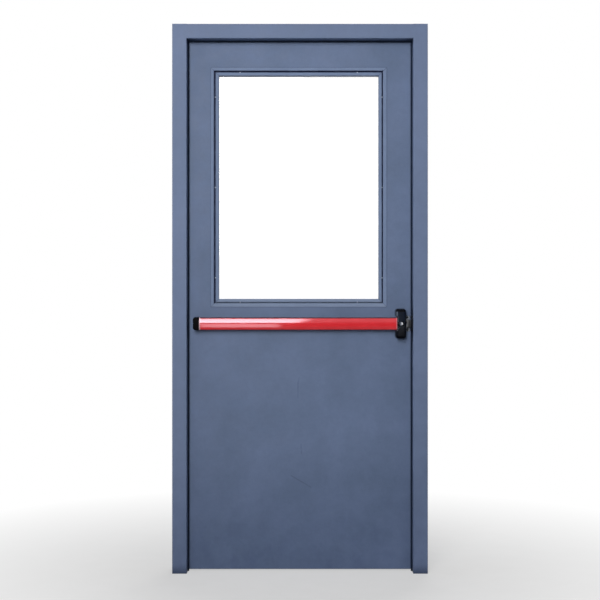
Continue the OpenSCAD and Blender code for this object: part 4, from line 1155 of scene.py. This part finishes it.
def make_corner_welds():
    """Two slim painted fillings, one at each upper corner of the frame's push face."""
    head_low, head_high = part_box("frame_head")
    for jamb, inward in (("hinge_jamb", 1), ("lock_jamb", -1)):
        jamb_low, jamb_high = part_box(jamb)
        seam_x = jamb_high.x if inward > 0 else jamb_low.x
        fold_x = seam_x - inward * WELD_R
        front = jamb_low.y
        weld = add_box(jamb + "_weld", (min(seam_x, fold_x), front, head_low.z + WELD_R),
                       (max(seam_x, fold_x), front + WELD_R, head_high.z - WELD_R))
        edit(weld)
        select_all()
        bpy.ops.mesh.bisect(plane_co=(seam_x, front + WELD_R, 0), plane_no=(-inward, 1, 0),
                            use_fill=True, clear_outer=True)
        leave_edit()
        dress(weld, finishes["frame_paint"])
        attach(weld, body_of[jamb])


# Floor and world

FLOOR_SIZE = 40.0
FLOOR_GREY = (0.7, 0.7, 0.7, 1)
FLOOR_PALE = (0.74, 0.74, 0.74, 1)
FLOOR_SPECK_SCALE = 8.0
# How far out the floor begins to run into white and is all white, and how white it is before that
FLOOR_NEAR = 0.5
FLOOR_FAR = 2.0
FLOOR_GLOW = 0.48
# Depths between which the floor turns white in mirrors, from in front of the door to behind it
MIRROR_DEPTHS = (-0.4, 0.2)
WORLD_AMBIENT = 0.14
# How bright mirrors show the studio in front of the door, low and high, and where it rises and turns to white
STUDIO_FRONT = 0.2
STUDIO_HIGH = 0.8
STUDIO_RISE = (0.05, 0.3)
STUDIO_TURN = (-0.6, 0.0)
PANE_GAIN = 1.09


def seen_directly(tree, in_mirrors):
    """1 for rays from the camera or through the pane, a level for mirrored ones, 0 for scattered ones."""
    path = add(tree, "LightPath").outputs
    seen = reckoned(tree, "MAXIMUM", path["Is Camera Ray"], path["Is Transmission Ray"])
    seen = reckoned(tree, "MAXIMUM", seen, times(tree, path["Is Glossy Ray"], in_mirrors))
    return times(tree, seen, reckoned(tree, "LESS_THAN", path["Diffuse Depth"], 1.0))


def white_level(tree):
    """Strength of white: 1, with what the pane takes away made up for rays that come through it."""
    return mapped(tree, add(tree, "LightPath").outputs["Is Transmission Ray"], 0.0, 1.0, 1.0, PANE_GAIN)


def make_floor():
    """A pale floor that keeps the door's shadow and runs out into the white."""
    clear_selection()
    bpy.ops.mesh.primitive_plane_add(size=FLOOR_SIZE, location=(0, 0, 0))
    floor = bpy.context.object
    floor.name = "floor"
    material = bpy.data.materials.new("pale_floor")
    tree = open_tree(material)
    place = surface_place(tree)
    reach = add(tree, "VectorMath", {0: place}, operation="LENGTH").outputs["Value"]
    specks = spread_noise(tree, noise(tree, place, FLOOR_SPECK_SCALE))
    near = add(tree, "BsdfDiffuse", {"Color": mixed(tree, specks, FLOOR_GREY, FLOOR_PALE)}).outputs[0]
    white = add(tree, "Emission", {"Color": WHITE, "Strength": white_level(tree)}).outputs[0]
    glow = mapped(tree, reach, FLOOR_NEAR, FLOOR_FAR, FLOOR_GLOW, 1.0)
    in_mirrors = mapped(tree, axes_of(tree, place)["Y"], *MIRROR_DEPTHS)
    fade = times(tree, glow, seen_directly(tree, in_mirrors))
    surface = add(tree, "MixShader", {0: fade, 1: near, 2: white}).outputs[0]
    add(tree, "OutputMaterial", {"Surface": surface})
    floor.data.materials.append(material)


def make_world():
    """White where it is looked at, dimmer towards the studio behind the camera, and a low even light."""
    world = bpy.data.worlds.new("studio")
    tree = open_tree(world)
    heading = axes_of(tree, add(tree, "TexCoord").outputs["Generated"])
    front = mapped(tree, heading["Z"], *STUDIO_RISE, STUDIO_FRONT, STUDIO_HIGH)
    seen = seen_directly(tree, mapped(tree, heading["Y"], *STUDIO_TURN, front, 1.0))
    level = times(tree, reckoned(tree, "MAXIMUM", seen, WORLD_AMBIENT), white_level(tree))
    light = add(tree, "Background", {"Color": WHITE, "Strength": level}).outputs[0]
    add(tree, "OutputWorld", {"Surface": light})
    bpy.context.scene.world = world


# Lamps

def add_softbox(name, place, target, width, height, power, spread=180):
    """A rectangular lamp that faces a target, with its beam spread in degrees, and isn't seen itself."""
    turn = (Vector(target) - Vector(place)).to_track_quat("-Z", "Y").to_euler()
    bpy.ops.object.light_add(type="AREA", location=place, rotation=turn)
    lamp = bpy.context.object
    lamp.name = name
    lamp.data.shape = "RECTANGLE"
    lamp.data.size = width
    lamp.data.size_y = height
    lamp.data.energy = power
    lamp.data.spread = math.radians(spread)
    lamp.visible_camera = False
    lamp.visible_transmission = False
    return lamp


def make_lamps():
    """A tall main softbox by the camera, a low card that only gloss shows, softboxes beside and behind."""
    add_softbox("main_softbox", place=(-0.76, -4.5, 2.7), target=(0.12, 0, 1.82),
                width=1.6, height=2.6, power=41, spread=90)
    low_card = add_softbox("low_card", place=(-0.33, -1.75, 0.53), target=(-0.33, 0, 0.53),
                           width=0.43, height=0.84, power=4)
    low_card.visible_diffuse = False
    add_softbox("side_softbox", place=(-3.3, -0.6, 1.6), target=(0.44, -0.05, 1.4),
                width=0.6, height=2.0, power=2.2, spread=60)
    add_softbox("back_softbox", place=(0.9, 3.8, 1.5), target=(0, 0, 1.2), width=2.4, height=2.6, power=80)


set_camera()
dress_solids()
make_screws()
make_push_pad()
make_end_cap()
make_lock_cover()
make_machined()
make_corner_welds()
make_floor()
make_world()
make_lamps()
bpy.context.scene.view_settings.view_transform = "Standard"

clear_selection()
